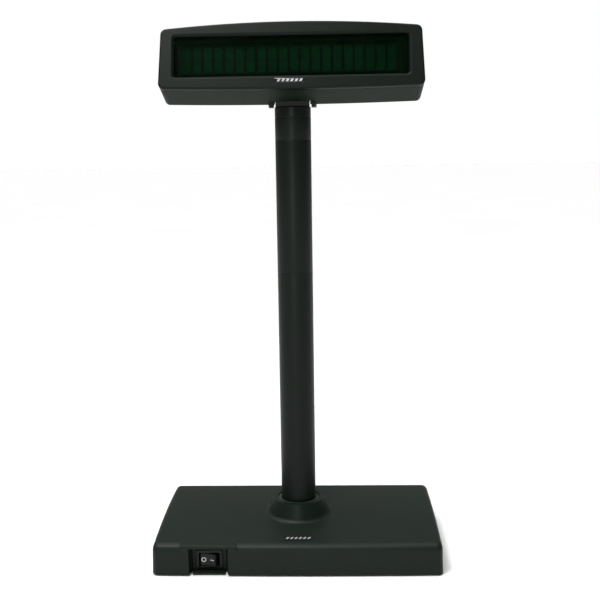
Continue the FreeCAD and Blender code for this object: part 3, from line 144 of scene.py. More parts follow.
def skin(points, wrap_rows=False):
    """Quads over a grid whose columns close on themselves: each quad joins two neighbours of one row to the
    same two of the next. Rows either close on themselves too, or each end row is capped."""
    rows, columns = points.shape[:2]
    i, j = np.meshgrid(np.arange(rows if wrap_rows else rows - 1), np.arange(columns), indexing="ij")
    up = (i + 1) % rows
    along = (j + 1) % columns
    quads = np.stack([i * columns + j, i * columns + along, up * columns + along, up * columns + j], -1)
    faces = quads.reshape(-1, 4).tolist()
    if not wrap_rows:
        faces.append(list(range(columns))[::-1])
        faces.append(list(range((rows - 1) * columns, rows * columns)))
    return points.reshape(-1, 3), faces


def turned(profile, segments=96, at=(0.0, 0.0), wrap=True):
    """A profile of (radius, height) carried round an upright axis: x = r cos a, y = r sin a, z = h."""
    profile = np.asarray(profile, float)
    a = np.arange(segments) / segments * TURN
    r = profile[:, :1]
    heights = np.broadcast_to(profile[:, 1:], (len(profile), segments))
    return skin(np.stack([r * np.cos(a) + at[0], r * np.sin(a) + at[1], heights], -1), wrap_rows=wrap)


def layers(loops, heights):
    """Outlines of one point count laid over each other as a grid: row k is loop k at height k."""
    loops = np.stack(loops)
    heights = np.broadcast_to(np.asarray(heights, float)[:, None, None], loops.shape[:2] + (1,))
    return np.concatenate([loops, heights], -1)


def stacked(loops, heights):
    """A closed solid over outlines laid over each other: row k is loop k at height k."""
    return skin(layers(loops, heights))


def boxes(low, high):
    """Many boxes at once: the eight corners of each are its low and high corners mixed."""
    low = np.asarray(low, float)[:, None]
    high = np.asarray(high, float)[:, None]
    pick = np.array([[0, 0, 0], [1, 0, 0], [1, 1, 0], [0, 1, 0], [0, 0, 1], [1, 0, 1], [1, 1, 1], [0, 1, 1]])
    points = low + (high - low) * pick
    sides = np.array([[0, 3, 2, 1], [4, 5, 6, 7], [0, 1, 5, 4], [1, 2, 6, 5], [2, 3, 7, 6], [3, 0, 4, 7]])
    faces = (np.arange(len(points))[:, None, None] * 8 + sides).reshape(-1, 4)
    return points.reshape(-1, 3), faces.tolist()


def together(*solids):
    """Several closed surfaces as one: each one's face numbers move up by the points before it."""
    points, faces = [], []
    count = 0
    for solid_points, solid_faces in solids:
        points.append(solid_points)
        faces += [[k + count for k in face] for face in solid_faces]
        count += len(solid_points)
    return np.concatenate(points), faces


def axes(solid, order, signs=(1, 1, 1), move=(0, 0, 0)):
    """A solid with its axes put in another order and moved. An odd change of order mirrors it, so its
    faces are then read backwards."""
    points, faces = solid
    points = points[:, order] * signs + np.asarray(move, float)
    parity = round(np.linalg.det(np.eye(3)[list(order)])) * int(np.prod(signs))
    if parity < 0:
        faces = [face[::-1] for face in faces]
    return points, faces


def in_head(solid):
    """(u, d, v) of the head's own frame to its place: a move to the pivot, a lean back by the rest tilt
    and a lift to the pivot's height. y = d' cos t + v' sin t, z = v' cos t - d' sin t."""
    points, faces = solid
    d = points[:, 1] - PIVOT_D
    v = points[:, 2] - PIVOT_V
    y = d * math.cos(REST_TILT) + v * math.sin(REST_TILT)
    z = v * math.cos(REST_TILT) - d * math.sin(REST_TILT) + PIVOT_HEIGHT
    return np.stack([points[:, 0], y, z], -1), faces


def signed_volume(solid):
    """Six times the volume that the faces enclose, positive when they point outwards: the sum over each
    face's fan of triangles of a . (b x c). Faces with the same number of corners are summed together."""
    points, faces = solid
    total = 0.0
    for corner_count in sorted({len(face) for face in faces}):
        corners = points[np.array([face for face in faces if len(face) == corner_count])]
        fans = np.cross(corners[:, 1:-1], corners[:, 2:])
        total += (corners[:, :1] * fans).sum()
    return total


def outward(solid):
    """The same surface, read backwards if its faces pointed in."""
    points, faces = solid
    return (points, faces) if signed_volume(solid) > 0 else (points, [face[::-1] for face in faces])


def new_piece(name, solid, body, material, replaces=(), smooth=35.0):
    """A mesh object from points in millimetres, shaded smooth except over edges sharper than `smooth`
    degrees."""
    points, faces = solid
    mesh = bpy.data.meshes.new(name)
    mesh.from_pydata((points * MM).tolist(), [], faces)
    mesh.validate()
    mesh.shade_smooth()
    mesh.set_sharp_from_angle(angle=math.radians(smooth))
    mesh.materials.append(material)
    piece = bpy.data.objects.new(name, mesh)
    bpy.context.scene.collection.objects.link(piece)
    bpy.context.view_layer.update()
    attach(piece, body)
    if replaces:
        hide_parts(*replaces)


# ---------------------------------------------------------------- finishes
def finish(name, dark, light, rough, patch=22.0, grain=1400.0, depth=0.25, height=0.00004, metallic=0.0,
           specular=0.12, stretch=(1.0, 1.0, 1.0), cells=False, speck=0.0):
    """A surface of one substance: slow patches between two near colours, a roughness that wanders with
    them, and a fine grain that lifts the surface. Specks are a second, finer tone that the grain's tops
    take."""
    material = bpy.data.materials.new(name)
    material.use_nodes = True
    nodes = material.node_tree.nodes
    links = material.node_tree.links
    shader = nodes["Principled BSDF"]
    shader.inputs["Metallic"].default_value = metallic
    shader.inputs["Specular IOR Level"].default_value = specular
    place = nodes.new("ShaderNodeTexCoord")
    mapping = nodes.new("ShaderNodeMapping")
    mapping.inputs["Scale"].default_value = stretch
    links.new(place.outputs["Object"], mapping.inputs["Vector"])

    patches = nodes.new("ShaderNodeTexNoise")
    patches.inputs["Scale"].default_value = patch
    patches.inputs["Detail"].default_value = 4.0
    links.new(mapping.outputs["Vector"], patches.inputs["Vector"])

    if cells:
        fine = nodes.new("ShaderNodeTexVoronoi")
        lift = fine.outputs["Distance"]
    else:
        fine = nodes.new("ShaderNodeTexNoise")
        fine.inputs["Detail"].default_value = 3.0
        lift = fine.outputs["Fac"]
    fine.inputs["Scale"].default_value = grain
    links.new(mapping.outputs["Vector"], fine.inputs["Vector"])

    tone = nodes.new("ShaderNodeMix")
    tone.data_type = "RGBA"
    tone.inputs["A"].default_value = (*dark, 1)
    tone.inputs["B"].default_value = (*light, 1)
    spread = nodes.new("ShaderNodeMapRange")
    spread.inputs["From Min"].default_value = 0.3
    spread.inputs["From Max"].default_value = 0.7
    links.new(patches.outputs["Fac"], spread.inputs["Value"])
    mixed = nodes.new("ShaderNodeMath")
    mixed.operation = "MULTIPLY_ADD"
    mixed.use_clamp = True
    mixed.inputs[1].default_value = speck
    links.new(lift, mixed.inputs[0])
    links.new(spread.outputs["Result"], mixed.inputs[2])
    links.new(mixed.outputs["Value"], tone.inputs["Factor"])
    links.new(tone.outputs["Result"], shader.inputs["Base Color"])

    sheen = nodes.new("ShaderNodeMapRange")
    sheen.inputs["From Min"].default_value = 0.3
    sheen.inputs["From Max"].default_value = 0.7
    sheen.inputs["To Min"].default_value = rough[0]
    sheen.inputs["To Max"].default_value = rough[1]
    links.new(patches.outputs["Fac"], sheen.inputs["Value"])
    links.new(sheen.outputs["Result"], shader.inputs["Roughness"])

    bump = nodes.new("ShaderNodeBump")
    bump.inputs["Strength"].default_value = depth
    bump.inputs["Distance"].default_value = height
    links.new(lift, bump.inputs["Height"])
    links.new(bump.outputs["Normal"], shader.inputs["Normal"])
    return material


def see_through(material, alpha):
    """Part of the light goes straight on through this surface."""
    material.node_tree.nodes["Principled BSDF"].inputs["Alpha"].default_value = alpha
    material.blend_method = "BLEND"
    return material


def grey(level, tint=(0.58, 1.0, 0.70)):
    """A dark plastic's colour with its slight green cast."""
    return tuple(level * share for share in tint)


def printed_board(name):
    """Solder mask over copper: square-cornered tracks along the mortar of one brick pattern, under green."""
    material = finish(name, (0.0010, 0.0090, 0.0032), (0.0016, 0.013, 0.0048), (0.35, 0.48),
                      grain=500.0, specular=0.2)
    nodes = material.node_tree.nodes
    links = material.node_tree.links
    tracks = nodes.new("ShaderNodeTexBrick")
    tracks.inputs["Scale"].default_value = 260.0
    tracks.inputs["Mortar Size"].default_value = 0.06
    tracks.inputs["Color1"].default_value = (0.0010, 0.0090, 0.0032, 1)
    tracks.inputs["Color2"].default_value = (0.0014, 0.0115, 0.0040, 1)
    tracks.inputs["Mortar"].default_value = (0.0045, 0.030, 0.010, 1)
    place = nodes.new("ShaderNodeTexCoord")
    links.new(place.outputs["Object"], tracks.inputs["Vector"])
    links.new(tracks.outputs["Color"], nodes["Principled BSDF"].inputs["Base Color"])
    return material


finishes = {
    "base_plastic": finish(
        "charcoal moulded base", grey(0.0092), grey(0.0118), (0.40, 0.50), cells=True, depth=0.35,
        specular=0.14),
    "head_plastic": finish(
        "charcoal moulded bezel", grey(0.0056), grey(0.0074), (0.42, 0.52), cells=True, depth=0.3,
        specular=0.11),
    "head_plastic_rear": finish(
        "charcoal moulded rear cover", grey(0.0095), grey(0.0120), (0.42, 0.52), cells=True,
        depth=0.4, specular=0.12),
    "ring_plastic": finish(
        "satin foot ring", grey(0.032), grey(0.040), (0.34, 0.44), grain=900.0, depth=0.15),
    "pole_finish": finish(
        "powder coated tube", grey(0.0052), grey(0.0074), (0.36, 0.44), grain=650.0, depth=0.5,
        specular=0.14, height=0.00006, patch=14.0, stretch=(1.0, 1.0, 0.6)),
    "neck_finish": finish(
        "satin neck", grey(0.0050), grey(0.0075), (0.28, 0.38), grain=900.0, depth=0.2),
    "switch_plastic": finish(
        "satin switch frame", grey(0.0050), grey(0.0070), (0.3, 0.4), grain=700.0, depth=0.08,
        specular=0.2),
    "rocker_plastic": finish(
        "satin rocker", grey(0.0045), grey(0.0065), (0.26, 0.36), grain=600.0, depth=0.08,
        specular=0.2),
    "white_mark": finish(
        "white moulded mark", (0.62, 0.62, 0.60), (0.74, 0.74, 0.72), (0.4, 0.5), grain=2500.0,
        depth=0.1),
    "badge_plate": finish(
        "dark badge film", (0.005, 0.005, 0.006), (0.008, 0.008, 0.009), (0.2, 0.3), depth=0.06,
        specular=0.5),
    "badge_silver": finish(
        "silver ink", (0.50, 0.51, 0.54), (0.66, 0.67, 0.70), (0.28, 0.42), metallic=0.7,
        grain=3000.0, depth=0.12, specular=0.5),
    "foot_rubber": finish(
        "ribbed rubber", (0.010, 0.010, 0.010), (0.018, 0.018, 0.018), (0.78, 0.9), grain=900.0,
        depth=0.5, specular=0.2),
    "floor_steel": finish(
        "black painted floor", grey(0.0085), grey(0.0125), (0.42, 0.54), patch=60.0, grain=900.0,
        depth=0.4),
    "ballast_steel": finish(
        "cast ballast", (0.07, 0.07, 0.075), (0.12, 0.12, 0.125), (0.5, 0.7), metallic=0.7,
        grain=500.0, depth=0.5, height=0.0001),
    "screw_steel": finish(
        "plated screw", (0.42, 0.42, 0.44), (0.56, 0.56, 0.58), (0.22, 0.34), metallic=1.0,
        grain=1800.0, depth=0.1, specular=0.5),
    "socket_metal": finish(
        "turned socket", (0.34, 0.34, 0.35), (0.46, 0.46, 0.47), (0.26, 0.4), metallic=1.0,
        stretch=(0.2, 0.2, 4.0), grain=700.0, depth=0.25),
    "bracket_steel": finish(
        "pressed bracket", (0.36, 0.37, 0.38), (0.50, 0.51, 0.52), (0.3, 0.44), metallic=1.0,
        stretch=(0.15, 1.0, 2.0), grain=900.0, depth=0.2),
    "contact_metal": finish(
        "tinned contact", (0.52, 0.50, 0.44), (0.66, 0.64, 0.58), (0.2, 0.32), metallic=1.0,
        grain=1600.0, depth=0.08),
    "port_shell": finish(
        "nickel port shell", (0.50, 0.50, 0.49), (0.64, 0.64, 0.62), (0.18, 0.3), metallic=1.0,
        grain=1500.0, depth=0.1),
    "port_plastic": finish(
        "black port insert", (0.006, 0.006, 0.007), (0.010, 0.010, 0.011), (0.36, 0.5), depth=0.2),
    "chip_plastic": finish(
        "moulded chip", (0.010, 0.010, 0.011), (0.016, 0.016, 0.017), (0.5, 0.62), grain=2600.0,
        depth=0.3),
    "capacitor_sleeve": finish(
        "capacitor sleeve", (0.012, 0.014, 0.030), (0.020, 0.024, 0.050), (0.22, 0.34), depth=0.08,
        specular=0.5),
    "header_plastic": finish(
        "cream header", (0.62, 0.57, 0.44), (0.72, 0.67, 0.54), (0.4, 0.52), depth=0.15),
    "cable_jacket": finish(
        "cable jacket", (0.010, 0.010, 0.010), (0.016, 0.016, 0.016), (0.42, 0.56), grain=800.0,
        depth=0.25),
    "lead_jacket": finish(
        "red lead", (0.26, 0.010, 0.008), (0.36, 0.016, 0.012), (0.36, 0.48), grain=800.0,
        depth=0.15),
    "bush_plastic": finish(
        "black acetal bush", (0.010, 0.011, 0.010), (0.016, 0.018, 0.016), (0.36, 0.46), depth=0.12),
    "board_green": printed_board("solder mask"),
    "coil_ferrite": finish(
        "wound ferrite", (0.020, 0.018, 0.016), (0.055, 0.050, 0.045), (0.5, 0.66), grain=400.0,
        depth=0.4, stretch=(1.0, 1.0, 6.0)),
    "grid_metal": finish(
        "grid mesh", (0.0012, 0.0050, 0.0022), (0.0022, 0.0080, 0.0036), (0.44, 0.56), grain=1500.0,
        depth=0.1, specular=0.05),
    "vfd_backplate": finish(
        "dark rear glass", (0.0018, 0.0055, 0.0030), (0.0030, 0.0085, 0.0046), (0.3, 0.42),
        grain=700.0, depth=0.1),
    "phosphor": finish(
        "unlit phosphor", (0.0015, 0.048, 0.010), (0.0030, 0.068, 0.015), (0.6, 0.72), patch=60.0,
        grain=4200.0, depth=0.25, specular=0.02, speck=0.3),
    "filter_tint": see_through(finish(
        "green filter", (0.0003, 0.0030, 0.0008), (0.0006, 0.0050, 0.0014), (0.16, 0.22), patch=34.0,
        grain=900.0, depth=0.03, specular=0.04), 0.36),
    "vfd_glass": see_through(finish(
        "clear tube glass", (0.02, 0.05, 0.03), (0.03, 0.06, 0.04), (0.04, 0.08), grain=300.0,
        depth=0.02, specular=0.2), 0.05),
    "cell_ground": finish(
        "cell ground", (0.0008, 0.026, 0.0060), (0.0016, 0.036, 0.0085), (0.6, 0.7), patch=60.0,
        grain=3000.0, depth=0.1),
}

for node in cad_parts.values():
    slot_name = node.data.materials[0].name.split(".")[0]
    node.data.materials[0] = finishes[slot_name]


# ---------------------------------------------------------------- pole, ring and feet
TUBE_EDGE = 0.3
RING_EDGES = (0.2, 0.2, 0.7, 0.4)
TUBE_SEGMENTS = 128
# (radius, height) down the foot's middle, over its two ribs and rim, and up its side.
FOOT_PROFILE = [(0.01, 0.35), (2.0, 0.35), (2.3, 0.05), (3.2, 0.05), (3.5, 0.35), (4.8, 0.35), (5.1, 0.0),
                (6.6, 0.0), (6.9, 0.12), (7.0, 0.4), (7.0, 1.0), (0.01, 1.0)]


def tube(outer, inner, low, high, edge):
    """The cut face of a tube wall, anticlockwise with round corners, carried round the pole's axis."""
    section = rounded_loop([(inner, low), (outer, low), (outer, high), (inner, high)], edge, 4)
    return turned(section, TUBE_SEGMENTS)


def foot(place):
    """A foot that stands on a rim: a disc with a shallow dish and two ribs in its underside."""
    return turned(FOOT_PROFILE, 64, place, wrap=False)


new_piece("pole_upper_tube", tube(POLE_RADIUS, POLE_BORE, POLE_LOW_JOINT, POLE_HIGH_JOINT, TUBE_EDGE),
          "base", finishes["pole_finish"], ("pole_upper",))
new_piece("pole_end_tube", tube(POLE_RADIUS, POLE_BORE, POLE_HIGH_JOINT, POLE_TOP, TUBE_EDGE),
          "base", finishes["pole_finish"], ("pole_top_tube",))
new_piece("foot_ring", tube(RING_OUTER, RING_BORE, RING_LOW, RING_TOP, RING_EDGES),
          "base", finishes["ring_plastic"], ("pole_foot_ring",))
new_piece("feet", together(*[foot(place) for place in FOOT_PLACES]),
          "base", finishes["foot_rubber"], ("rubber_feet",))


# ---------------------------------------------------------------- switch
# (half width, half height, corner radius, height): body, frame, its soft edge, the mouth and the hollow.
SWITCH_LAYERS = [(9.15, 6.35, 0.5, -15.0), (9.15, 6.35, 0.5, 0.0), (10.35, 7.55, 1.0, 0.0),
                 (10.35, 7.55, 1.0, 1.0), (10.23, 7.43, 0.95, 1.28), (9.95, 7.15, 0.8, 1.4),
                 (8.35, 5.45, 0.4, 1.4), (8.25, 5.35, 0.3, 1.1), (8.25, 5.35, 0.3, -10.0)]
# (half width, how far the side view is drawn in): from a soft side to the full section.
ROCKER_SIDES = [(5.05, 0.42), (4.95, 0.2), (4.7, 0.05), (4.4, 0.0)]
# (size, lift over the face): a ring's outer and inner radii, and a bar's half length and half width.
RING_MARK = [(1.95, -0.15), (1.95, 0.02), (1.9, 0.05), (1.3, 0.05), (1.25, 0.02), (1.25, -0.15)]
BAR_MARK = [((1.55, 0.36), -0.15), ((1.55, 0.36), 0.02), ((1.5, 0.31), 0.05)]
BAR_CORNER = 0.08


def switch_frame():
    """Rounded rectangles laid over each other from the body's rear to the frame's face and into the
    hollow."""
    loops = [rectangle(*layer[:3]) for layer in SWITCH_LAYERS]
    solid = stacked(loops, [layer[3] for layer in SWITCH_LAYERS])
    return axes(solid, (0, 2, 1), (1, -1, 1), (SWITCH_X, SWITCH_BACK_Y, SWITCH_Z))


def rocker_rise(x):
    """The height of the rocker's two faces over its pivot: ridge + |x| tan(slope) - scoop sin(pi |x| /
    reach)."""
    reach = np.abs(x) / ROCKER_SCOOP_REACH
    scoop = ROCKER_SCOOP * np.sin(np.clip(reach, 0, 1) * math.pi)
    return ROCKER_RIDGE + np.abs(x) * math.tan(ROCKER_SLOPE) - scoop


def turned_rocker(solid):
    """From the rocker's own frame to its place, turned by its slope so that the ring's end is pressed."""
    points, faces = solid
    a = -ROCKER_SLOPE
    x = points[:, 0] * math.cos(a) - points[:, 1] * math.sin(a) + SWITCH_X
    y = points[:, 0] * math.sin(a) + points[:, 1] * math.cos(a) + ROCKER_PIVOT_Y
    return outward((np.stack([x, y, points[:, 2] + SWITCH_Z], -1), faces))


def rocker():
    """The rocker's side view, two scooped faces between round ends, carried along its width and drawn in a
    little at both sides for soft edges."""
    x = np.linspace(ROCKER_END, -ROCKER_END, 41)
    face = np.stack([x, -rocker_rise(x)], -1)
    start = math.atan2(rocker_rise(ROCKER_END), ROCKER_END)
    low = math.asin(ROCKER_ROUND_FOOT / ROCKER_ROUND)
    a = np.linspace(-low, start, 10)
    left = np.stack([-ROCKER_ROUND * np.cos(a), -ROCKER_ROUND * np.sin(a)], -1)[::-1]
    right = left[::-1] * (-1, 1)
    outline = np.concatenate([face, left[1:], right[:-1]])
    middle = np.array(ROCKER_MIDDLE)
    sides = [(-half, draw) for half, draw in ROCKER_SIDES] + ROCKER_SIDES[::-1]
    loops = [(outline - middle) * (1 - draw / ROCKER_HALF_LENGTH) + middle for half, draw in sides]
    return turned_rocker(stacked(loops, [half for half, draw in sides]))


def on_face(loops, lifts, side):
    """Outlines drawn on one rocker face: across the face, up it, and a little proud of it."""
    rows = []
    for loop, lift in zip(loops, lifts):
        x = side * MARK_MIDDLE + loop[:, 0]
        rows.append(np.stack([x, -rocker_rise(x) - lift, loop[:, 1]], -1))
    return np.stack(rows)


def rocker_signs():
    """The ring on one face and the bar on the other, each raised a little from its face."""
    ring = on_face([circle(radius) for radius, lift in RING_MARK], [lift for radius, lift in RING_MARK], -1)
    bar_loops = [rectangle(*half, BAR_CORNER, 3) for half, lift in BAR_MARK]
    bar = on_face(bar_loops, [lift for half, lift in BAR_MARK], 1)
    return together(turned_rocker(skin(ring, wrap_rows=True)), turned_rocker(skin(bar)))


new_piece("switch_frame", switch_frame(), "base", finishes["switch_plastic"],
          ("switch_body",))
new_piece("rocker", rocker(), "rocker", finishes["rocker_plastic"], ("rocker_button",))
new_piece("rocker_signs", rocker_signs(), "rocker", finishes["white_mark"], ("rocker_marks",))


# ---------------------------------------------------------------- front bezel
def long_outline(half_top, half_low, top_end, top_middle, low_end, low_middle, radius, steps=6, along=41):
    """A wide outline, anticlockwise: straight sides, long edges that arch as
    v = end + (middle - end)(1 - (u / half)^2), and corners as exact arcs tangent to both."""
    corners = np.array([(half_low, low_end), (half_top, top_end), (-half_top, top_end),
                        (-half_low, low_end)])
    fall_top = np.array([-1.0, 2 * (top_middle - top_end) / half_top])
    fall_low = np.array([1.0, 2 * (low_middle - low_end) / half_low])
    up = corners[1] - corners[0]
    down = corners[3] - corners[2]
    ways_in = np.stack([fall_low * (1, -1), up, fall_top * (1, -1), down])
    ways_out = np.stack([up, fall_top, down, fall_low])
    ways_in /= np.linalg.norm(ways_in, axis=1, keepdims=True)
    ways_out /= np.linalg.norm(ways_out, axis=1, keepdims=True)
    half_turn = np.arccos(np.clip((ways_in * ways_out).sum(1), -1, 1)) / 2
    reach = (radius * np.tan(half_turn))[:, None, None]
    s = np.linspace(0, 1, steps + 1)[None, :, None]
    pull = 2 * s * (1 - s) * np.cos(half_turn)[:, None, None]
    start = corners[:, None] - ways_in[:, None] * reach
    end = corners[:, None] + ways_out[:, None] * reach
    arcs = ((1 - s) ** 2 * start + pull * corners[:, None] + s ** 2 * end) / ((1 - s) ** 2 + pull + s ** 2)
    u_top = np.linspace(half_top - radius, radius - half_top, along)[1:-1]
    u_low = np.linspace(radius - half_low, half_low - radius, along)[1:-1]
    top = np.stack([u_top, top_end + (top_middle - top_end) * (1 - (u_top / half_top) ** 2)], -1)
    low = np.stack([u_low, low_end + (low_middle - low_end) * (1 - (u_low / half_low) ** 2)], -1)
    return np.concatenate([arcs[0], arcs[1], top, arcs[2], arcs[3], low])


def face_outline(inset):
    """The bezel's outer outline, drawn in by `inset`, its corners tightening half as fast."""
    return long_outline(BEZEL_HALF_TOP - inset, BEZEL_HALF_LOW - inset, BEZEL_TOP_END - inset,
                        BEZEL_TOP_MIDDLE - inset, BEZEL_LOW_END + inset, BEZEL_LOW_MIDDLE + inset,
                        BEZEL_CORNER - inset / 2)


def window_outline(grow, radius):
    """The window's outline, grown by `grow`, with straight long edges."""
    half, high, low = WINDOW_HALF + grow, WINDOW_TOP + grow, WINDOW_LOW - grow
    return long_outline(half, half, high, high, low, low, radius)


def bezel():
    """The bezel's section carried round both outlines at once: the soft rear edge, the side, the rounded
    face edge, the face drawn in to the window, its sloping rim, the seat behind it and the hollow back to
    the start. The rounded edge is a quarter circle: inset = e (1 - cos a), depth = e (1 - sin a)."""
    quarter = np.radians([22.5, 45.0, 67.5, 90.0])
    rim = window_outline(1.95, 3.6)
    section = [(face_outline(0.4), BEZEL_DEPTH), (face_outline(0.12), 4.88), (face_outline(0.0), 4.6),
               (face_outline(0.0), BEZEL_EDGE)]
    section += [(face_outline(BEZEL_EDGE * (1 - math.cos(a))), BEZEL_EDGE * (1 - math.sin(a)))
                for a in quarter]
    section += [(face_outline(BEZEL_EDGE) * (1 - share) + rim * share, 0.0)
                for share in (0.02, 0.35, 0.7, 0.98)]
    section += [(rim, 0.0), (window_outline(1.6, 3.3), 0.1), (window_outline(0.12, 2.1), 1.6),
                (window_outline(0.0, 2.0), 1.8), (window_outline(0.0, 2.0), 2.4),
                (window_outline(2.3, 0.5), 2.4), (window_outline(2.3, 0.5), 3.9),
                (face_outline(2.5), 3.9), (face_outline(2.5), BEZEL_DEPTH)]
    grid = np.stack([np.insert(loop, 1, depth, axis=1) for loop, depth in section])
    return in_head(outward(skin(grid, wrap_rows=True)))


new_piece("bezel", bezel(), "head", finishes["head_plastic"], ("front_bezel",), smooth=40.0)


# ---------------------------------------------------------------- display cells
def column_middles():
    """The middle of each column of cells: u = middle + pitch (k - (n - 1) / 2)."""
    return CELL_MIDDLE_U + CELL_PITCH * (np.arange(CELL_COLUMNS) - (CELL_COLUMNS - 1) / 2)


def cell_dots():
    """Forty characters of five by seven dots: the middle of dot (i, j) is the cell's corner plus i and j
    pitches."""
    pitch_u, pitch_v = CELL_WIDTH / DOTS_WIDE, CELL_HEIGHT / DOTS_TALL
    counts = [np.arange(n) for n in (CELL_COLUMNS, CELL_ROWS, DOTS_WIDE, DOTS_TALL)]
    c, r, i, j = [axis.reshape(-1) for axis in np.meshgrid(*counts, indexing="ij")]
    u = column_middles()[c] - CELL_WIDTH / 2 + (i + 0.5) * pitch_u
    v = CELL_FOOT_V + r * (CELL_HEIGHT + CELL_ROW_GAP) + (j + 0.5) * pitch_v
    half_u, half_v = pitch_u * DOT_HALF_SHARE, pitch_v * DOT_HALF_SHARE
    low = np.stack([u - half_u, np.full(len(u), DOT_D), v - half_v], -1)
    high = np.stack([u + half_u, np.full(len(u), CELL_BACK_D), v + half_v], -1)
    return outward(in_head(boxes(low, high)))


def cell_grounds():
    """The layer that each column's dots stand on: one thin strip from the lower row's foot to the upper
    row's top."""
    u = column_middles()
    top = CELL_FOOT_V + CELL_ROWS * CELL_HEIGHT + CELL_ROW_GAP
    low = np.stack([u - CELL_WIDTH / 2, np.full(len(u), GROUND_D), np.full(len(u), CELL_FOOT_V)], -1)
    high = np.stack([u + CELL_WIDTH / 2, np.full(len(u), CELL_BACK_D), np.full(len(u), top)], -1)
    return outward(in_head(boxes(low, high)))


new_piece("display_grounds", cell_grounds(), "head", finishes["cell_ground"], smooth=20.0)
new_piece("display_dots", cell_dots(), "head", finishes["phosphor"], ("vfd_cells",), smooth=20.0)


# ---------------------------------------------------------------- badges: plain slanted bars, no lettering
BAR_COUNT, BAR_PITCH, BAR_WIDTH, BAR_SLANT = 6, 3.4, 1.9, 0.55
HEAD_BAR_HEIGHT, BASE_BAR_HEIGHT = 1.9, 2.6
# (half width, half height, corner radius, height) of the head badge's film.
FILM_LAYERS = [(11.8, 1.7, 0.5, -0.5), (11.8, 1.7, 0.5, 0.2), (11.65, 1.55, 0.4, 0.3)]


def slanted_bars(height):
    """A row of equal parallelograms: each outline leans by the slant over its height."""
    half = BAR_WIDTH / 2
    lean = BAR_SLANT * height / 2
    bar = np.array([(-half - lean, -height / 2), (half - lean, -height / 2),
                    (half + lean, height / 2), (-half + lean, height / 2)])
    return [bar + ((index - (BAR_COUNT - 1) / 2) * BAR_PITCH, 0.0) for index in range(BAR_COUNT)]


def on_head(solid):
    """A flat badge piece stood up on the head's face."""
    return outward(in_head(axes(solid, (0, 2, 1), (1, -1, 1), HEAD_BADGE_PLACE)))


def crown_z(y, lift):
    """The base's arched top: z on a circle about the ridge line, z = top - R + sqrt((R + lift)^2 - (y -
    y0)^2)."""
    return CROWN_TOP - CROWN_RADIUS + np.sqrt((CROWN_RADIUS + lift) ** 2 - (y - CROWN_RIDGE_Y) ** 2)


def on_crown(outline):
    """An outline laid on the arched top, from the ink's low side to its high side."""
    x, y = outline[:, 0] + BASE_BADGE_PLACE[0], outline[:, 1] + BASE_BADGE_PLACE[1]
    return outward(skin(np.stack([np.stack([x, y, crown_z(y, lift)], -1) for lift in BADGE_INK_HEIGHTS])))


film = stacked([rectangle(*layer[:3]) for layer in FILM_LAYERS], [layer[3] for layer in FILM_LAYERS])
head_bars = [on_head(stacked([bar, bar], BADGE_INK_HEIGHTS)) for bar in slanted_bars(HEAD_BAR_HEIGHT)]
base_bars = [on_crown(bar) for bar in slanted_bars(BASE_BAR_HEIGHT)]
new_piece("head_badge_film", on_head(film), "head", finishes["badge_plate"], ("head_badge",))
new_piece("head_badge_bars", together(*head_bars), "head", finishes["badge_silver"])
new_piece("base_badge_bars", together(*base_bars), "base", finishes["badge_silver"])


# ---------------------------------------------------------------- rear ports
D_SIDE_LEAN = math.radians(10.0)
FLANGE = (15.4, 6.25, 0.8)
FLANGE_BACK = -0.8
# (width, height, corner radius, how far out): the hood's root, side, rolled tip and inside.
HOOD_LAYERS = [(17.9, 9.4, 2.4, 0.0), (17.0, 8.5, 2.1, 0.25), (16.9, 8.4, 2.0, 0.7), (16.9, 8.4, 2.0, 5.7),
               (16.6, 8.1, 1.9, 5.95), (16.1, 7.6, 1.7, 6.0), (15.9, 7.4, 1.6, 5.8),
               (15.9, 7.4, 1.6, FLANGE_BACK)]
HEX_RADIUS, HEX_BREAK = 2.38, 0.15
JACK_LENGTH, JACK_SHANK, JACK_SHANK_LENGTH = 5.0, 1.05, 3.0
JACK_CHAMFER = 1.95
THREAD_RADIUS, THREAD_DEPTH, THREAD_STEP, THREAD_TURNS = 1.25, 0.16, 0.28, 13
THREAD_START = 4.8


def d_loop(width, height, radius):
    """A serial port's keyed outline, wider above than below."""
    top = width / 2
    low = top - height * math.tan(D_SIDE_LEAN)
    corners = [(-low, -height / 2), (low, -height / 2), (top, height / 2), (-top, height / 2)]
    return rounded_loop(corners, radius, 5)


def port_shell(x):
    """A drawn shell: flange, a soft root, the keyed hood, its rolled tip and the way back down inside."""
    flange = rectangle(*FLANGE)
    loops = [flange, flange] + [d_loop(*layer[:3]) for layer in HOOD_LAYERS]
    heights = [FLANGE_BACK, 0.0] + [layer[3] for layer in HOOD_LAYERS]
    solid = skin(layers(loops, heights), wrap_rows=True)
    return outward(axes(solid, (0, 2, 1), (1, 1, 1), (x, PANEL_INNER_Y, SERIAL_Z)))


def jackscrew(x):
    """A hexagonal post with broken corners, a chamfered tip and a threaded hole whose wall ripples."""
    outer = rounded_loop(circle(HEX_RADIUS, 6), HEX_BREAK, 3)
    a = np.arctan2(outer[:, 1], outer[:, 0])
    unit = np.stack([np.cos(a), np.sin(a)], -1)
    stack = [(unit * JACK_SHANK, -JACK_SHANK_LENGTH), (unit * JACK_SHANK, 0.0), (outer, 0.0),
             (outer, JACK_LENGTH - 0.4), (unit * JACK_CHAMFER, JACK_LENGTH)]
    stack += [(unit * (THREAD_RADIUS - THREAD_DEPTH * (k % 2)), THREAD_START - THREAD_STEP * k)
              for k in range(THREAD_TURNS)]
    solid = stacked([loop for loop, height in stack], [height for loop, height in stack])
    return outward(axes(solid, (0, 2, 1), (1, 1, 1), (x, PANEL_Y, SERIAL_Z)))


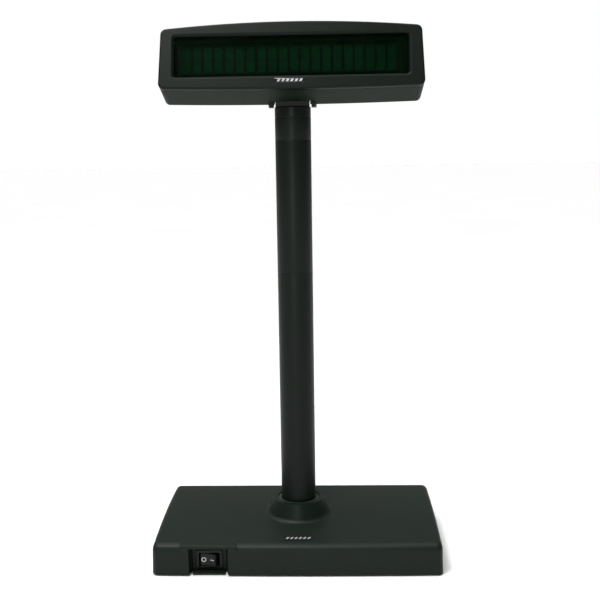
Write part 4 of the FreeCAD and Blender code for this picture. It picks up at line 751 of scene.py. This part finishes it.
jack_solids = [jackscrew(x + side * JACK_REACH) for x in SERIAL_X for side in (-1, 1)]
new_piece("port_shells", together(*[port_shell(x) for x in SERIAL_X]),
          "base", finishes["port_shell"], ("serial_port_shells",))
new_piece("jack_posts", together(*jack_solids),
          "base", finishes["screw_steel"], ("jackscrews",), smooth=25.0)


# ---------------------------------------------------------------- screws with a cross recess
SCREW_SIDES, SCREW_RINGS = 72, 22
PAN_HEAD, PAN_HEIGHT, PAN_SHANK, PAN_LENGTH = 2.5, 1.8, 1.3, 11.4
FLAT_TOP, FLAT_RECESS = 2.78, 0.9
# (radius, height) up a countersunk screw's shank and cone.
FLAT_SIDE = ((0.9, -13.4), (1.3, -12.8), (1.3, -1.2), (2.8, 0.0))


def cross_top(head, dome, recess):
    """A round head's top, z = dome (1 - (r/R)^2), less a cross-shaped recess that is deepest at the
    middle."""
    a = np.arange(SCREW_SIDES) / SCREW_SIDES * TURN
    r = np.linspace(1.0, 0.02, SCREW_RINGS)[:, None] * head
    x, y = r * np.cos(a), r * np.sin(a)
    across = np.minimum(np.abs(x), np.abs(y))
    slot = np.clip((head * 0.17 - across) / (head * 0.05), 0, 1)
    reach = np.clip((head * 0.66 - r) / (head * 0.1), 0, 1)
    z = dome * (1 - (r / head) ** 2) - recess * slot * reach * (1 - 0.45 * r / head)
    return np.stack([x, y, z], -1)


def screw_solid(side, top):
    """Rings of (radius, height) up a screw's side, and then its top's rings."""
    rings = [np.insert(circle(radius, SCREW_SIDES), 2, z, axis=1) for radius, z in side]
    return skin(np.concatenate([np.stack(rings), top]))


def pan_screw(u):
    """A cross-recessed pan head on a shank, its seat at zero and its shank below, set in the head's
    underside."""
    top = cross_top(PAN_HEAD * 0.96, PAN_HEIGHT * 0.34, PAN_HEIGHT * 0.62)
    top[..., 2] += PAN_HEIGHT * 0.66
    side = ((PAN_SHANK * 0.7, -PAN_LENGTH), (PAN_SHANK, -PAN_LENGTH + 0.5), (PAN_SHANK, 0.0), (PAN_HEAD, 0.0),
            (PAN_HEAD, PAN_HEIGHT * 0.58))
    solid = axes(screw_solid(side, top), (0, 2, 1), (1, 1, 1), (u, CASE_SCREW_D, CASE_SCREW_V))
    return in_head(outward(solid))


def flat_screw(place):
    """A countersunk screw seen from below: its face is level with the floor and carries a cross recess."""
    solid = screw_solid(FLAT_SIDE, cross_top(FLAT_TOP, 0.0, FLAT_RECESS))
    return outward(axes(solid, (0, 1, 2), (1, 1, -1), (place[0], place[1], FLOOR_SCREW_Z)))


new_piece("cover_screws", together(*[pan_screw(u) for u in CASE_SCREW_U]),
          "head", finishes["screw_steel"], ("case_screws",), smooth=30.0)
new_piece("foot_screws", together(*[flat_screw(place) for place in BOSS_PLACES]),
          "base", finishes["screw_steel"], ("floor_screws",), smooth=30.0)


# ---------------------------------------------------------------- stage, light and camera
def area_light(name, place, target, size, power):
    """A square soft light that faces a point."""
    light = bpy.data.lights.new(name, "AREA")
    light.size = size
    light.energy = power
    lamp = bpy.data.objects.new(name, light)
    bpy.context.scene.collection.objects.link(lamp)
    away = np.asarray(place, float) - np.asarray(target, float)
    away /= np.linalg.norm(away)
    side = np.cross((0, 0, 1), away)
    side /= np.linalg.norm(side)
    turn = np.stack([side, np.cross(away, side), away], 1).tolist()
    lamp.matrix_world = Matrix([[*row, move] for row, move in zip(turn, place)] + [[0, 0, 0, 1]])


def studio_glow(world):
    """A white surround. The light it gives the object grows from the front of the room to its back, as
    the sweep behind the table does: strength = front + (back - front) * smooth(y of the direction)."""
    nodes = world.node_tree.nodes
    links = world.node_tree.links
    place = nodes.new("ShaderNodeTexCoord")
    parts = nodes.new("ShaderNodeSeparateXYZ")
    links.new(place.outputs["Generated"], parts.inputs["Vector"])
    glow = nodes.new("ShaderNodeMapRange")
    glow.interpolation_type = "SMOOTHSTEP"
    glow.inputs["From Min"].default_value = GLOW_START
    glow.inputs["From Max"].default_value = 1.0
    glow.inputs["To Min"].default_value = FRONT_GLOW
    glow.inputs["To Max"].default_value = BACK_GLOW
    links.new(parts.outputs["Y"], glow.inputs["Value"])
    path = nodes.new("ShaderNodeLightPath")
    strength = nodes.new("ShaderNodeMix")
    links.new(path.outputs["Is Camera Ray"], strength.inputs["Factor"])
    links.new(glow.outputs["Result"], strength.inputs["A"])
    strength.inputs["B"].default_value = 1.0
    nodes["Background"].inputs["Color"].default_value = (1.0, 1.0, 1.0, 1)
    links.new(strength.outputs["Result"], nodes["Background"].inputs["Strength"])


floor_corners = [(x * FLOOR_HALF, y * FLOOR_HALF, -FLOOR_DROP)
                 for x, y in ((-1, -1), (1, -1), (1, 1), (-1, 1))]
floor_mesh = bpy.data.meshes.new("floor")
floor_mesh.from_pydata(floor_corners, [], [(0, 1, 2, 3)])
floor_mesh.materials.append(finish(
    "white table", (0.87, 0.87, 0.87), (0.89, 0.89, 0.89), (0.7, 0.8), patch=2.0, grain=300.0, depth=0.02,
    specular=0.1))
floor = bpy.data.objects.new("floor", floor_mesh)
bpy.context.scene.collection.objects.link(floor)

world = bpy.data.worlds.new("studio")
world.use_nodes = True
studio_glow(world)
bpy.context.scene.world = world
bpy.context.scene.view_settings.view_transform = "Standard"

area_light("key", place=(-0.24, -0.44, 0.98), target=(-0.03, 0, 0.16), size=0.20, power=5.6)
area_light("front_strip", place=(-0.12, -1.02, 0.30), target=(0, 0, 0.25), size=0.18, power=1.6)
sky_light = bpy.data.lights.new("overhead", "SUN")
sky_light.energy = 3.3
sky_light.angle = math.radians(70)
overhead = bpy.data.objects.new("overhead", sky_light)
overhead.rotation_euler = (math.radians(2), math.radians(-14), 0)
bpy.context.scene.collection.objects.link(overhead)

# The viewer's camera: where it stands, and how it is turned.
EYE = (0.02773, -0.73384, 0.32368)
YAW, PITCH, ROLL = math.radians(1.89), math.radians(8.78), math.radians(-0.86)
right = np.array([math.cos(YAW), math.sin(YAW), 0.0])
ahead = np.array([-math.sin(YAW), math.cos(YAW), 0.0])
look = ahead * math.cos(PITCH) - np.array([0, 0, 1.0]) * math.sin(PITCH)
level_up = np.array([0, 0, 1.0]) * math.cos(PITCH) + ahead * math.sin(PITCH)
side = right * math.cos(ROLL) + level_up * math.sin(ROLL)
top = -right * math.sin(ROLL) + level_up * math.cos(ROLL)
camera_data = bpy.data.cameras.new("viewer")
camera_data.lens = 54.5
camera_data.sensor_width = 36.0
camera = bpy.data.objects.new("viewer", camera_data)
bpy.context.scene.collection.objects.link(camera)
camera.matrix_world = Matrix([[side[k], top[k], -look[k], EYE[k]] for k in range(3)] + [[0, 0, 0, 1]])
bpy.context.scene.camera = camera
